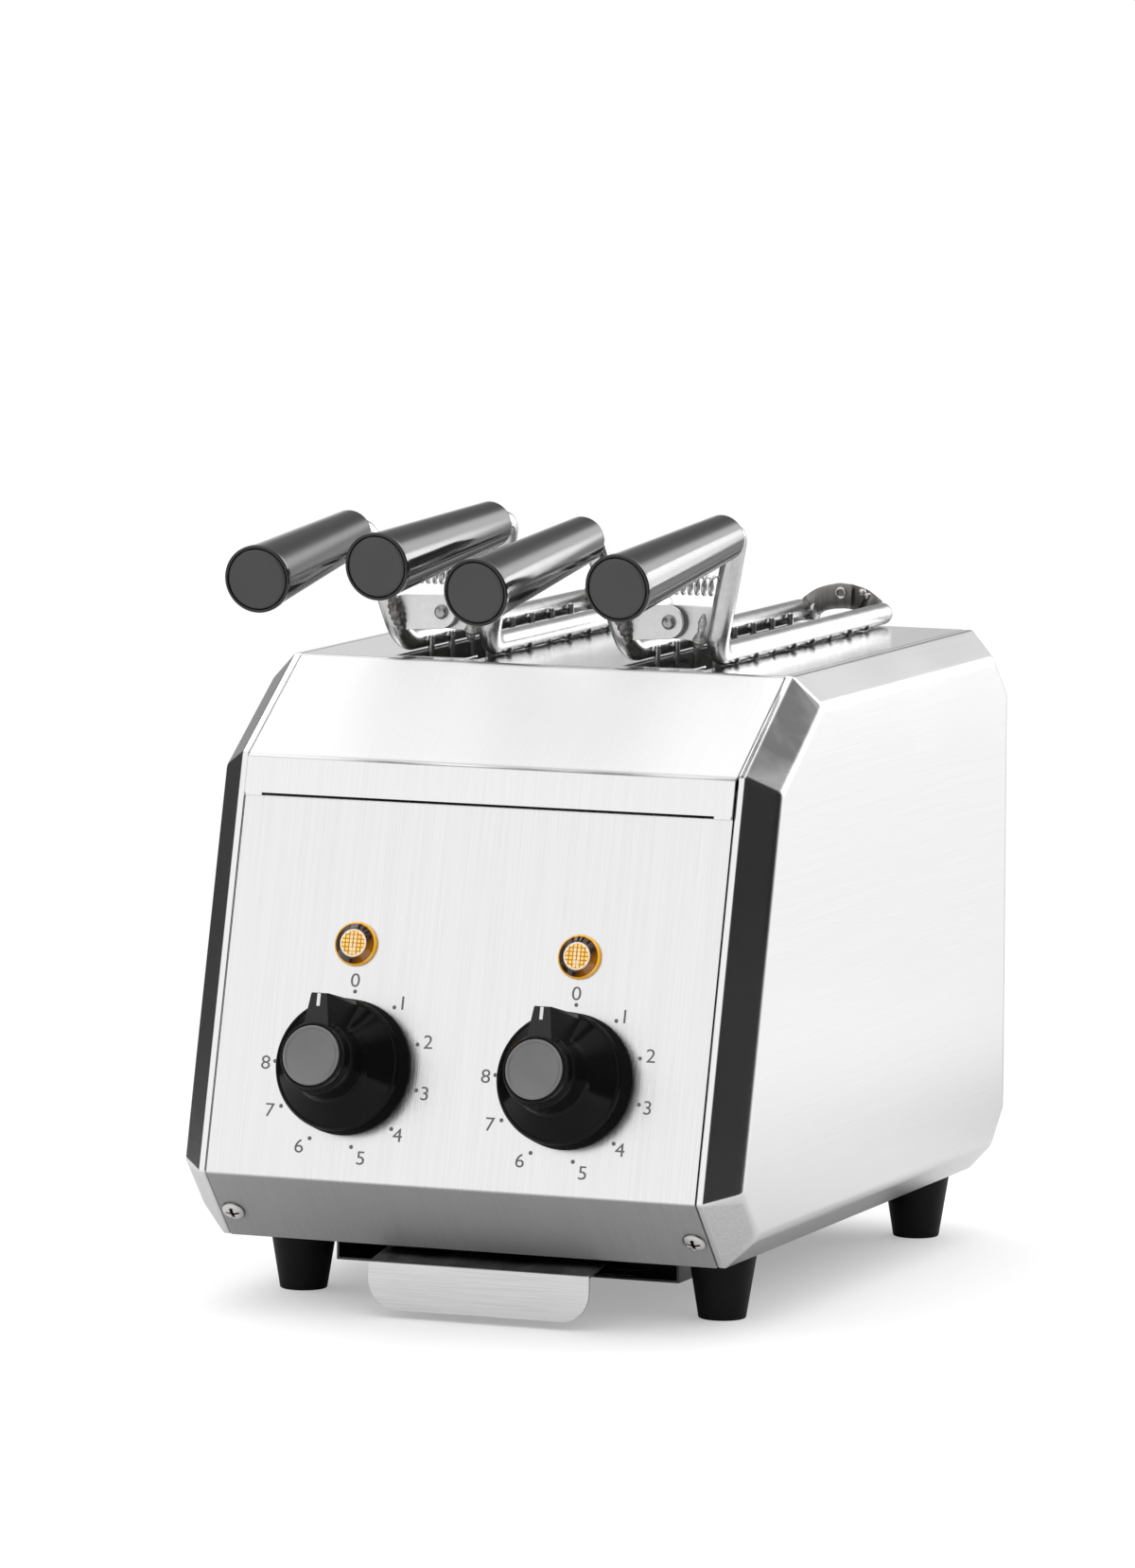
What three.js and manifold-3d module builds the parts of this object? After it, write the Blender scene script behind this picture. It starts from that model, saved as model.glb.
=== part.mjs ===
// Two-slot toaster for sandwiches, with a pair of spring tongs standing in each slot.
// Units are millimetres. X runs across the front, Y runs from the front to the back, Z is up.
import * as THREE from 'three';
import { mergeVertices, toCreasedNormals } from 'three/addons/utils/BufferGeometryUtils.js';
import Module from 'manifold-3d';

const wasm = await Module();
wasm.setup();

// Fits shared by many pieces.
const sheet = 1;                 // steel sheet
const seam = 0.3;                // gap between pieces that meet
const overrun = 2;               // how far a cut runs past what it cuts
const bendRadius = 2.4;          // outer radius of a fold in the sheet
const bendSteps = 3;
const creaseAngle = 0.75;        // radians, above this an edge is drawn sharp

// Body, seen from the side. Depths are from the front crease, heights from the table.
const bodyWidth = 180;            // between the rims of the two side panels
const bodyTop = 219.5;
const bodyBottom = 23.15;
const frontCreaseHeight = 47.7;
const frontEdgeDepth = 22.2;
const flapCreaseHeight = 189.35;
const flapCreaseDepth = 36.7;
const deckFrontDepth = 82.3;
const deckRearDepth = 268.3;
const rearCreaseHeight = 200.5;
const rearCreaseDepth = 289.4;
const rearFootCreaseHeight = 41;
const rearFootCreaseDepth = 291.2;
const rearEdgeDepth = 273;
const flapLength = 12.6;         // overlap of the top cover on the front panel
const rearFlapLength = 12;
const flapUnderlap = 5;          // how far the panel under a flap stops short of its crease
const panFlange = 14;            // upturned edge of the base pan

// Side panels, pressed as trays with a sloping band round the face.
const rimFlat = 2.56;
const bandDepth = 10.22;
const bandInset = 10.15;
const rimLip = 7;
const bandTurnShare = Math.tan(Math.PI / 8); // of the sheet, lost where the band turns

// Slots in the deck.
const slotPitch = 84.8;          // between the middles of the two slots
const slotWidth = 31;
const slotFrontDepth = 90;
const slotLength = 164;
const slotLipHeight = 1.8;
const slotLipThickness = 0.8;

// Tongs. Heights are above the deck.
const tubeRadius = 3.9;
const tubeSides = 10;
const railClearance = 0.5;
const railHalfSpan = 16;
const railRearDepth = 269.6;
const railFrontDepth = 101.5;
const riserHeight = 36.5;        // top of the riser's straight part
const riserFootHeight = 10;
const riserLean = 7;             // how far forward the riser's top stands
const riserSpread = 8.3;         // how far outward the riser's top stands
const tubeBendRadius = 9;
const elbowRadius = 5.8;
const elbowStub = 0.4;
const tubeInGrip = 34;
const bendSampleShares = [0, 0.33, 0.67, 1];
const hookSampleShares = [0, 0.5, 1];
const pivotHeight = 15.4;
const lugSetback = 7.1;          // front of the front lug, ahead of the rails' front ends
const pivotDepth = railFrontDepth - lugSetback;
const rearPivotHeight = 11.3;
const rivetRadius = 1.7;
const rivetHeadRadius = 2.75;
const rivetHeadHeight = 1.6;
const rivetSides = 12;
const rivetFit = 0.25;
const lugThickness = 2;
const lugRadius = 5.9;
const lugRoot = 14;
const lugRootRadius = 6.2;
const lugRootDrop = 0.6;
const strapThickness = 1.5;
// A strap seen from the front: places out towards its own rail, with its top and underside above the deck.
const strapOuts = [-5, -3.6, 3, 7, 10.5, 13.5];
const strapTops = [13.3, 14.3, 14.3, 12.9, 11.2, 9.2];
const strapUndersides = [5.3, 5.5, 5.7, 4.8, 3.8, 3.2];
const washerRadius = 6.9;
const eyeletRadius = 2.4;
const eyeletBore = 1.2;
const eyeletRim = 0.9;
const gripRadius = 11.6;         // at the cap
const gripRearRadius = 8.1;
const gripLength = 94.8;
const gripSides = 18;
const gripRim = 1.1;
const gripChamfer = 0.9;
const capRecess = 3;
const capCrown = 0.5;
const gripBoreFit = 0.4;
const gripFrontDepth = -18.4;
// Each handle was bent by hand: how far its two ends stand out from the tongs' middle and above the deck.
const leftTongGrips = {
  left: { capOut: 21.4, bendOut: 26.7, capRise: 35.2, bendRise: 43.6 },
  right: { capOut: 22.3, bendOut: 26, capRise: 41.2, bendRise: 48.6 },
};
const rightTongGrips = {
  left: { capOut: 26.5, bendOut: 24.4, capRise: 33.9, bendRise: 44.8 },
  right: { capOut: 24.5, bendOut: 26.8, capRise: 37.4, bendRise: 47.3 },
};

// Wire grids that hang from the rails and hold the bread.
const wireRadius = 1.1;
const wireSides = 6;
const gridPitch = 19;
const gridCount = 8;
const gridSetback = 9.9;         // first wire, behind the rails' front ends
const gridFirstDepth = railFrontDepth + gridSetback;
const gridTopRise = 5.2;         // above the deck
const gridDrop = 112;            // below the deck
const gridHook = 7;
const gridHookRadius = 3;
const gridBarHeightShares = [0.42, 0.98];
const gridBarOverhang = 4;
const gridBite = 0.5;            // how deep crossing wires are welded into each other

// Return spring between the risers.
const springWireRadius = 0.55;
const springRadius = 3.1;
const springCurls = 14;
const springStepsPerCurl = 8;
const springSides = 5;
const springHeight = 29;         // above the deck
const springSeat = 0.35;

// Timer dials and their lamps. Distances along the front panel are measured up from the front crease.
const dialPitch = 81.4;
const dialOffset = -0.8;
const dialUp = 39.2;
const dialSides = 28;
const skirtRadius = 22.9;
const skirtRearRadius = 23.4;
const skirtRearHeight = 1.2;
const skirtFrontHeight = 9.8;
const skirtWall = 2;
const hubFootRadius = 13.6;
const hubFootHeight = 16;
const hubShoulderRadius = 12.7;
const hubShoulderHeight = 28.7;
const hubTopRadius = 11;
const hubTopHeight = 33;
const dialCapRadius = 10.2;
const dialCapHeight = 1.6;
const dialCapDish = 0.8;
const pointerReach = 21.8;
const pointerBite = 2;            // how far its root runs into the hub
const pointerTop = 31.2;
const pointerInnerWidth = 9.4;
const pointerOuterWidth = 5.7;
const shaftRadius = 3;
const shaftInDial = 20;
const shaftSides = 14;
const shaftFit = 0.3;
const bushRadius = 4.9;
const bushNose = 0.9;
const timerRadius = 21;
const timerDepth = 30;
const timerSides = 16;
const lampUp = 81.8;
const lampRadius = 7.7;
const lampRimHeight = 1.4;
const lampFaceRadius = 5.2;
const lampHeight = 4.4;
const lampBodyRadius = 5.6;
const lampBodyDepth = 18;
const lampSides = 16;

// Feet and screws.
const footHalfSpan = 78;
const frontFootDepth = 58.7;
const rearFootDepth = 256.8;
const footTopRadius = 11.9;
const footBottomRadius = 8.2;
const footEdge = 0.8;
const footSides = 18;
const screwHalfSpan = 84.9;
const screwUpShare = 0.41;       // of the lower facet, from its bottom edge
const screwHeadRadius = 4.2;
const screwHeadHeight = 2.1;
const screwShankRadius = 1.9;
const screwShankLength = 7;
const screwSides = 14;

// Crumb tray and the channel that it slides in.
const channelSpan = 127.4;
const channelHeight = 11.4;
const channelWall = 0.8;
const channelFrontDepth = 54.3;
const channelLength = 208;
const louvreWidth = 12;
const louvreLength = 2.6;
const louvrePitch = 12;
const louvreRows = 9;
const louvreOut = 38;
const trayWall = 0.8;
const traySpan = 118;
const trayHeight = 9.8;
const trayFrontDepth = 86;
const trayLength = 172;
const tabSpan = 81.2;
const tabOffset = 7.4;
const tabFoldDepth = 9.6;
const tabFoldHeight = 19.2;
const tabKneeDepth = 29;
const tabPlate = 16.2;
const tabCornerRadius = 10.5;

// Heating chamber.
const heatHalfSpan = 85;
const heatFrontDepth = 84;
const heatLength = 175;
const elementRadius = 4;
const elementHeadRadius = 5.6;
const elementHeadLength = 7;
const elementSides = 10;
const elementHeights = [135, 185];
const outerElementOut = 78;
const guardOut = 28.2;           // from the slot's middle
const guardHeights = [115, 160, 205];
const guardPostShares = [0.15, 0.85];
const guardWireRadius = 0.9;
const crumbOpeningHalfSpan = 58;
const crumbOpeningMargin = 8;

// Back of the toaster.
const glandOut = 60;
const glandHeight = 62;
const glandRadius = 9;
const glandFlange = 1.6;
const glandNoseRadius = 6.6;
const glandNose = 9;
const glandBore = 3.6;
const glandNeckRadius = 6;
const glandNeck = 6;
const glandSides = 12;
const terminalWidth = 34;
const terminalDepth = 9;
const terminalHeight = 18;
const terminalSteps = 3;
const terminalGroove = 3;
const terminalGrooveDepth = 5;
const ventWidth = 50;
const ventHeight = 3.2;
const ventPitch = 11;
const ventRows = 5;
const ventDrop = 36.5;           // top row, below the rear crease

const materials = {
  brushed: new THREE.MeshStandardMaterial({ color: 0xd9dadb, roughness: 0.34, metalness: 1 }),
  satin: new THREE.MeshStandardMaterial({ color: 0xe6e7e8, roughness: 0.42, metalness: 1 }),
  mirror: new THREE.MeshStandardMaterial({ color: 0xdededf, roughness: 0.12, metalness: 1 }),
  shaded: new THREE.MeshStandardMaterial({ color: 0x8d8f92, roughness: 0.5, metalness: 1 }),
  wire: new THREE.MeshStandardMaterial({ color: 0xc9cbcd, roughness: 0.2, metalness: 1 }),
  dark: new THREE.MeshStandardMaterial({ color: 0x4a4b4d, roughness: 0.5, metalness: 1 }),
  spring: new THREE.MeshStandardMaterial({ color: 0xbfc1c4, roughness: 0.25, metalness: 1 }),
  grip: new THREE.MeshStandardMaterial({ color: 0x232324, roughness: 0.18, metalness: 0 }),
  cap: new THREE.MeshStandardMaterial({ color: 0x39393b, roughness: 0.6, metalness: 0 }),
  dial: new THREE.MeshStandardMaterial({ color: 0x121213, roughness: 0.22, metalness: 0 }),
  dialCap: new THREE.MeshStandardMaterial({ color: 0x4b4c4e, roughness: 0.35, metalness: 0 }),
  lamp: new THREE.MeshStandardMaterial({ color: 0xe39a17, roughness: 0.15, metalness: 0 }),
  rubber: new THREE.MeshStandardMaterial({ color: 0x151516, roughness: 0.7, metalness: 0 }),
  plastic: new THREE.MeshStandardMaterial({ color: 0xd8d4c8, roughness: 0.5, metalness: 0 }),
  quartz: new THREE.MeshStandardMaterial({ color: 0xdcd9d0, roughness: 0.3, metalness: 0 }),
};

// Geometry helpers.

// Joins shared corners, drops empty triangles and turns the faces outwards.
function closed(geometry) {
  const bare = geometry.clone();
  bare.deleteAttribute('normal');
  bare.deleteAttribute('uv');
  const merged = mergeVertices(bare);
  const source = merged.index.array;
  const place = merged.attributes.position;
  const [a, b, c] = [new THREE.Vector3(), new THREE.Vector3(), new THREE.Vector3()];
  const index = [];
  let volume = 0;
  for (let i = 0; i < source.length; i += 3) {
    const [p, q, r] = [source[i], source[i + 1], source[i + 2]];
    if (p === q || q === r || r === p) continue;
    index.push(p, q, r);
    a.fromBufferAttribute(place, p);
    b.fromBufferAttribute(place, q);
    c.fromBufferAttribute(place, r);
    volume += a.dot(b.cross(c));
  }
  if (volume < 0) {
    for (let i = 0; i < index.length; i += 3) [index[i], index[i + 1]] = [index[i + 1], index[i]];
  }
  merged.setIndex(index);
  return merged;
}

function solid(geometry) {
  const shell = closed(geometry);
  return new wasm.Manifold(new wasm.Mesh({
    numProp: 3,
    vertProperties: new Float32Array(shell.attributes.position.array),
    triVerts: new Uint32Array(shell.index.array),
  }));
}

function geometryOf(body) {
  const mesh = body.getMesh();
  const geometry = new THREE.BufferGeometry();
  geometry.setAttribute('position', new THREE.BufferAttribute(Float32Array.from(mesh.vertProperties), 3));
  geometry.setIndex([...mesh.triVerts]);
  return geometry;
}

function joined(...geometries) {
  return geometryOf(geometries.map(solid).reduce((whole, piece) => whole.add(piece)));
}

function cut(geometry, ...cutters) {
  return geometryOf(cutters.map(solid).reduce((whole, piece) => whole.subtract(piece), solid(geometry)));
}

function box(x0, x1, y0, y1, z0, z1) {
  const geometry = new THREE.BoxGeometry(x1 - x0, y1 - y0, z1 - z0);
  geometry.translate((x0 + x1) / 2, (y0 + y1) / 2, (z0 + z1) / 2);
  return geometry;
}

// Revolves a profile of (radius, height) points about the local Z axis.
function turned(points, sides) {
  const geometry = new THREE.LatheGeometry(points.map(([r, h]) => new THREE.Vector2(r, h)), sides);
  geometry.rotateX(Math.PI / 2);
  return closed(geometry);
}

// A cylinder along local Z from one height to another.
function rod(radius, low, high, sides) {
  return turned([[0, low], [radius, low], [radius, high], [0, high]], sides);
}

// Points the local Z axis of a geometry along a direction and moves its origin to a place.
function aimed(geometry, place, direction) {
  const turn = new THREE.Quaternion().setFromUnitVectors(new THREE.Vector3(0, 0, 1), direction.clone().normalize());
  geometry.applyQuaternion(turn);
  geometry.translate(place.x, place.y, place.z);
  return geometry;
}

function shapeOf(points) {
  return new THREE.Shape(points.map(([x, y]) => new THREE.Vector2(x, y)));
}

// Extrudes a section drawn in (depth, height) across the body, between two X places.
function across(section, x0, x1, bevel = {}) {
  const geometry = new THREE.ExtrudeGeometry(section, { depth: x1 - x0, bevelEnabled: false, curveSegments: 1, ...bevel });
  const basis = new THREE.Matrix4().makeBasis(
    new THREE.Vector3(0, 1, 0),
    new THREE.Vector3(0, 0, 1),
    new THREE.Vector3(1, 0, 0),
  );
  geometry.applyMatrix4(basis);
  geometry.translate(x0, 0, 0);
  return geometry;
}

// Extrudes a section drawn in (X, height) along the depth, between two Y places.
function alongDepth(section, y0, y1) {
  const geometry = new THREE.ExtrudeGeometry(section, { depth: y1 - y0, bevelEnabled: false, curveSegments: 6 });
  geometry.rotateX(Math.PI / 2);
  geometry.translate(0, y1, 0);
  return geometry;
}

// Moves a line of (depth, height) points sideways by a distance, to the right of its direction, with mitred corners.
function offsetLine(points, distance, loop = false) {
  const count = points.length;
  return points.map((point, i) => {
    const before = loop || i > 0 ? points[(i + count - 1) % count] : null;
    const after = loop || i < count - 1 ? points[(i + 1) % count] : null;
    const normals = [[before, point], [point, after]].filter(([p, q]) => p && q).map(([p, q]) => {
      const along = new THREE.Vector2(q[0] - p[0], q[1] - p[1]).normalize();
      return new THREE.Vector2(along.y, -along.x);
    });
    const first = normals[0];
    const last = normals[normals.length - 1];
    const middle = first.clone().add(last);
    const reach = (2 * distance) / middle.lengthSq();
    return [point[0] + middle.x * reach, point[1] + middle.y * reach];
  });
}

// Replaces each inner corner of a line by a short arc.
function roundedLine(points, radius, steps) {
  const out = [points[0]];
  for (let i = 1; i < points.length - 1; i += 1) {
    const corner = new THREE.Vector2(...points[i]);
    const back = new THREE.Vector2(...points[i - 1]).sub(corner);
    const on = new THREE.Vector2(...points[i + 1]).sub(corner);
    const bend = (Math.PI - Math.acos(back.clone().normalize().dot(on.clone().normalize()))) / 2;
    const pull = Math.min(radius * Math.tan(bend), back.length() / 3, on.length() / 3);
    const start = corner.clone().add(back.setLength(pull));
    const end = corner.clone().add(on.setLength(pull));
    const curve = new THREE.QuadraticBezierCurve(start, corner, end);
    for (const p of curve.getPoints(steps)) out.push([p.x, p.y]);
  }
  out.push(points[points.length - 1]);
  return out;
}

// A folded sheet: its outer line, thickened to the right of its direction and drawn across the body.
function foldedSheet(outer, x0, x1) {
  const line = roundedLine(outer, bendRadius, bendSteps);
  const inner = offsetLine(line, sheet);
  return across(shapeOf([...line, ...inner.reverse()]), x0, x1);
}

// A path with chosen stations, so that straight runs need no extra steps.
class StationPath extends THREE.Curve {
  constructor(stations) {
    super();
    this.stations = stations;
  }

  getPoint(t, target = new THREE.Vector3()) {
    const last = this.stations.length - 1;
    const at = Math.min(Math.max(t, 0), 1) * last;
    const low = Math.min(Math.floor(at), last - 1);
    return target.lerpVectors(this.stations[low], this.stations[low + 1], at - low);
  }

  getPointAt(u, target) {
    return this.getPoint(u, target);
  }

  getTangentAt(u, target = new THREE.Vector3()) {
    const last = this.stations.length - 1;
    const at = Math.round(Math.min(Math.max(u, 0), 1) * last);
    const here = this.stations[at];
    target.set(0, 0, 0);
    if (at > 0) target.add(here.clone().sub(this.stations[at - 1]).normalize());
    if (at < last) target.add(this.stations[at + 1].clone().sub(here).normalize());
    return target.normalize();
  }
}

// Rounds the corners of a 3-D line, with a radius for each inner corner.
function bentStations(corners, radii, shares = bendSampleShares) {
  const out = [corners[0]];
  for (let i = 1; i < corners.length - 1; i += 1) {
    const back = corners[i - 1].clone().sub(corners[i]);
    const on = corners[i + 1].clone().sub(corners[i]);
    const bend = (Math.PI - back.angleTo(on)) / 2;
    const pull = Math.min(radii[i - 1] * Math.tan(bend), back.length() * 0.49, on.length() * 0.49);
    const start = corners[i].clone().add(back.setLength(pull));
    const end = corners[i].clone().add(on.setLength(pull));
    const curve = new THREE.QuadraticBezierCurve3(start, corners[i], end);
    for (const share of shares) out.push(curve.getPoint(share));
  }
  out.push(corners[corners.length - 1]);
  return out;
}

// A round tube or wire along stations.
function tube(stations, radius, sides) {
  const section = new THREE.Shape();
  for (let i = 0; i < sides; i += 1) {
    const angle = (2 * Math.PI * i) / sides;
    section[i ? 'lineTo' : 'moveTo'](radius * Math.cos(angle), radius * Math.sin(angle));
  }
  section.closePath();
  const path = new StationPath(stations);
  return new THREE.ExtrudeGeometry(section, { steps: stations.length - 1, bevelEnabled: false, extrudePath: path });
}

// A flat plate round two circles, in (X, height).
function linkShape(x0, z0, r0, x1, z1, r1) {
  const facing = Math.atan2(z1 - z0, x1 - x0);
  const tilt = Math.acos((r0 - r1) / Math.hypot(x1 - x0, z1 - z0));
  const shape = new THREE.Shape();
  shape.absarc(x0, z0, r0, facing + tilt, facing - tilt + 2 * Math.PI, false);
  shape.absarc(x1, z1, r1, facing - tilt, facing + tilt, false);
  shape.closePath();
  return shape;
}

const toaster = new THREE.Group();

function place(name, geometry, material, group = toaster) {
  const mesh = new THREE.Mesh(toCreasedNormals(closed(geometry), creaseAngle), material.clone());
  mesh.name = name;
  group.add(mesh);
  return mesh;
}

// Body.

const halfSpan = bodyWidth / 2;
const panelSpan = halfSpan - seam;
const outline = {
  frontEdge: [frontEdgeDepth, bodyBottom],
  frontCrease: [0, frontCreaseHeight],
  flapCrease: [flapCreaseDepth, flapCreaseHeight],
  deckFront: [deckFrontDepth, bodyTop],
  deckRear: [deckRearDepth, bodyTop],
  rearCrease: [rearCreaseDepth, rearCreaseHeight],
  rearFootCrease: [rearFootCreaseDepth, rearFootCreaseHeight],
  rearEdge: [rearEdgeDepth, bodyBottom],
};
// Clockwise seen from the right side panel, so that the right of the line is the inside.
const outlineLoop = Object.values(outline);

// A point on the line from one corner towards another, a distance along.
function towards(from, to, distance) {
  const length = Math.hypot(to[0] - from[0], to[1] - from[1]);
  return [from[0] + ((to[0] - from[0]) * distance) / length, from[1] + ((to[1] - from[1]) * distance) / length];
}

const frontLean = Math.atan2(flapCreaseDepth, flapCreaseHeight - frontCreaseHeight);
const frontUp = new THREE.Vector3(0, Math.sin(frontLean), Math.cos(frontLean));
const frontOut = new THREE.Vector3(0, -Math.cos(frontLean), Math.sin(frontLean));

// Where a line moved outward by a distance meets the line that follows it.
function raisedCorner(from, corner, next, distance) {
  const [a, b] = offsetLine([from, corner], -distance);
  const [px, py] = a;
  const [dx, dy] = [b[0] - a[0], b[1] - a[1]];
  const [ex, ey] = [next[0] - corner[0], next[1] - corner[1]];
  const along = ((corner[0] - px) * ey - (corner[1] - py) * ex) / (dx * ey - dy * ex);
  return [px + dx * along, py + dy * along];
}

function sidePanel(side) {
  const bevel = { bevelEnabled: true, bevelSegments: 1, bevelThickness: bandDepth, bevelSize: bandInset };
  const outer = across(shapeOf(outlineLoop), -rimFlat, rimFlat, { ...bevel, bevelOffset: -bandInset });
  const hollowLoop = offsetLine(outlineLoop, sheet, true);
  const hollowFlat = rimFlat - sheet * bandTurnShare;
  const hollowDepth = bandDepth - sheet + sheet * bandTurnShare;
  const hollow = across(shapeOf(hollowLoop), -hollowFlat, hollowFlat, {
    ...bevel,
    bevelThickness: hollowDepth,
    bevelSize: (bandInset * hollowDepth) / bandDepth,
    bevelOffset: (-bandInset * hollowDepth) / bandDepth,
  });
  const far = rimFlat + bandDepth + overrun;
  const inward = [Math.min(0, -side * far), Math.max(0, -side * far)];
  const away = box(...inward, -far, rearFootCreaseDepth + far, 0, bodyTop + far);
  const lip = cut(
    across(shapeOf(hollowLoop), Math.min(0, side * sheet), Math.max(0, side * sheet)),
    across(shapeOf(offsetLine(outlineLoop, rimLip, true)), -sheet - overrun, sheet + overrun),
  );
  const panel = geometryOf(solid(cut(outer, hollow, away)).add(solid(lip)));
  panel.translate(side * halfSpan, 0, 0);
  return panel;
}

function topCover() {
  const { frontCrease, flapCrease, deckFront, deckRear, rearCrease, rearFootCrease } = outline;
  const proud = sheet + seam;
  const frontBend = raisedCorner(frontCrease, flapCrease, deckFront, proud);
  const rearBend = raisedCorner(rearFootCrease, rearCrease, deckRear, -proud);
  const lean = [Math.sin(frontLean), Math.cos(frontLean)];
  const flapEnd = [frontBend[0] - lean[0] * flapLength, frontBend[1] - lean[1] * flapLength];
  const rearEnd = [rearBend[0], rearBend[1] - rearFlapLength];
  const cover = foldedSheet([flapEnd, frontBend, deckFront, deckRear, rearBend, rearEnd], -panelSpan, panelSpan);
  const slots = [-1, 1].map((side) => {
    const middle = (side * slotPitch) / 2;
    return box(middle - slotWidth / 2, middle + slotWidth / 2, slotFrontDepth, slotFrontDepth + slotLength,
      bodyTop - sheet - overrun, bodyTop + overrun);
  });
  const lips = [-1, 1].map((side) => {
    const middle = (side * slotPitch) / 2;
    return box(middle - slotWidth / 2, middle + slotWidth / 2, slotFrontDepth - slotLipThickness, slotFrontDepth,
      bodyTop - sheet, bodyTop + slotLipHeight);
  });
  return joined(cut(cover, ...slots), ...lips);
}

function screwPlace(side) {
  const { frontEdge, frontCrease } = outline;
  const depth = frontEdge[0] + (frontCrease[0] - frontEdge[0]) * screwUpShare;
  const height = frontEdge[1] + (frontCrease[1] - frontEdge[1]) * screwUpShare;
  return new THREE.Vector3(side * screwHalfSpan, depth, height);
}

// Outward from the lower facet of the front panel.
const facetOut = new THREE.Vector3(0, bodyBottom - frontCreaseHeight, -frontEdgeDepth).normalize();

function screwHole(side) {
  return aimed(rod(screwShankRadius + seam, -screwShankLength, overrun, screwSides), screwPlace(side), facetOut);
}

function panelPoint(x, up) {
  return new THREE.Vector3(x, frontUp.y * up, frontCreaseHeight + frontUp.z * up);
}

const dialPlaces = [-1, 1].map((side) => dialOffset + (side * dialPitch) / 2);

function frontPanel() {
  const { frontEdge, frontCrease, flapCrease } = outline;
  const top = towards(flapCrease, frontCrease, flapUnderlap);
  const panel = foldedSheet([frontEdge, frontCrease, top], -panelSpan, panelSpan);
  const holes = dialPlaces.flatMap((x) => [
    aimed(rod(bushRadius + shaftFit, -sheet - overrun, overrun, shaftSides), panelPoint(x, dialUp), frontOut),
    aimed(rod(lampBodyRadius + seam, -sheet - overrun, overrun, lampSides), panelPoint(x, lampUp), frontOut),
  ]);
  return cut(panel, ...holes, screwHole(-1), screwHole(1));
}

function rearPanel() {
  const { rearEdge, rearFootCrease, rearCrease } = outline;
  const top = towards(rearCrease, rearFootCrease, flapUnderlap);
  const panel = foldedSheet([top, rearFootCrease, rearEdge], -panelSpan, panelSpan);
  const vents = [];
  for (const side of [-1, 1]) {
    for (let row = 0; row < ventRows; row += 1) {
      const height = rearCreaseHeight - ventDrop - row * ventPitch;
      const middle = (side * slotPitch) / 2;
      vents.push(box(middle - ventWidth / 2, middle + ventWidth / 2, rearCreaseDepth - overrun - sheet,
        rearFootCreaseDepth + overrun, height, height + ventHeight));
    }
  }
  const back = new THREE.Vector3(0, 1, 0);
  const neck = new THREE.Vector3(glandOut, rearFootCreaseDepth, glandHeight);
  return cut(panel, ...vents, aimed(rod(glandNeckRadius + seam, -sheet - overrun, overrun, glandSides), neck, back));
}

function basePan() {
  const inset = sheet + seam;
  const { frontEdge, frontCrease, rearEdge, rearFootCrease } = outline;
  const [frontLow, frontHigh] = offsetLine([frontEdge, frontCrease], inset);
  const [rearHigh, rearLow] = offsetLine([rearFootCrease, rearEdge], inset);
  const onFloor = (low, high) => {
    const share = (bodyBottom - low[1]) / (high[1] - low[1]);
    return [low[0] + (high[0] - low[0]) * share, bodyBottom];
  };
  const frontCorner = onFloor(frontLow, frontHigh);
  const rearCorner = onFloor(rearLow, rearHigh);
  const line = [towards(rearCorner, rearHigh, panFlange), rearCorner, frontCorner, towards(frontCorner, frontHigh, panFlange)];
  const pan = foldedSheet(line, -panelSpan, panelSpan);
  const opening = box(-crumbOpeningHalfSpan, crumbOpeningHalfSpan, heatFrontDepth + crumbOpeningMargin,
    heatFrontDepth + heatLength - crumbOpeningMargin, bodyBottom - overrun, bodyBottom + sheet + overrun);
  return cut(pan, opening, screwHole(-1), screwHole(1));
}

place('side_panel_left', sidePanel(-1), materials.satin);
place('side_panel_right', sidePanel(1), materials.satin);
place('top_cover', topCover(), materials.mirror);
place('front_panel', frontPanel(), materials.brushed);
place('rear_panel', rearPanel(), materials.brushed);
place('base_pan', basePan(), materials.shaded);

// Feet and screws.

function foot() {
  const height = bodyBottom - seam;
  return turned([
    [0, 0], [footBottomRadius - footEdge, 0], [footBottomRadius, footEdge], [footTopRadius, height - footEdge],
    [footTopRadius - footEdge, height], [0, height],
  ], footSides);
}

for (const [row, depth] of [['front', frontFootDepth], ['rear', rearFootDepth]]) {
  for (const [name, side] of [['left', -1], ['right', 1]]) {
    place(`foot_${row}_${name}`, foot(), materials.rubber).position.set(side * footHalfSpan, depth, 0);
  }
}

function facetScrew(side) {
  const screw = turned([
    [0, -screwShankLength + seam], [screwShankRadius, -screwShankLength + seam], [screwShankRadius, seam],
    [screwHeadRadius, seam], [screwHeadRadius, seam + screwHeadHeight / 3],
    [screwHeadRadius / 2, seam + screwHeadHeight], [0, seam + screwHeadHeight],
  ], screwSides);
  return aimed(screw, screwPlace(side), facetOut);
}

place('facet_screw_left', facetScrew(-1), materials.mirror);
place('facet_screw_right', facetScrew(1), materials.mirror);

// Crumb tray and its channel. The channel hangs from the base pan, and the tray rests on its floor.

const channelTop = bodyBottom - seam;
const channelFloor = channelTop - channelHeight + channelWall;

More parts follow.
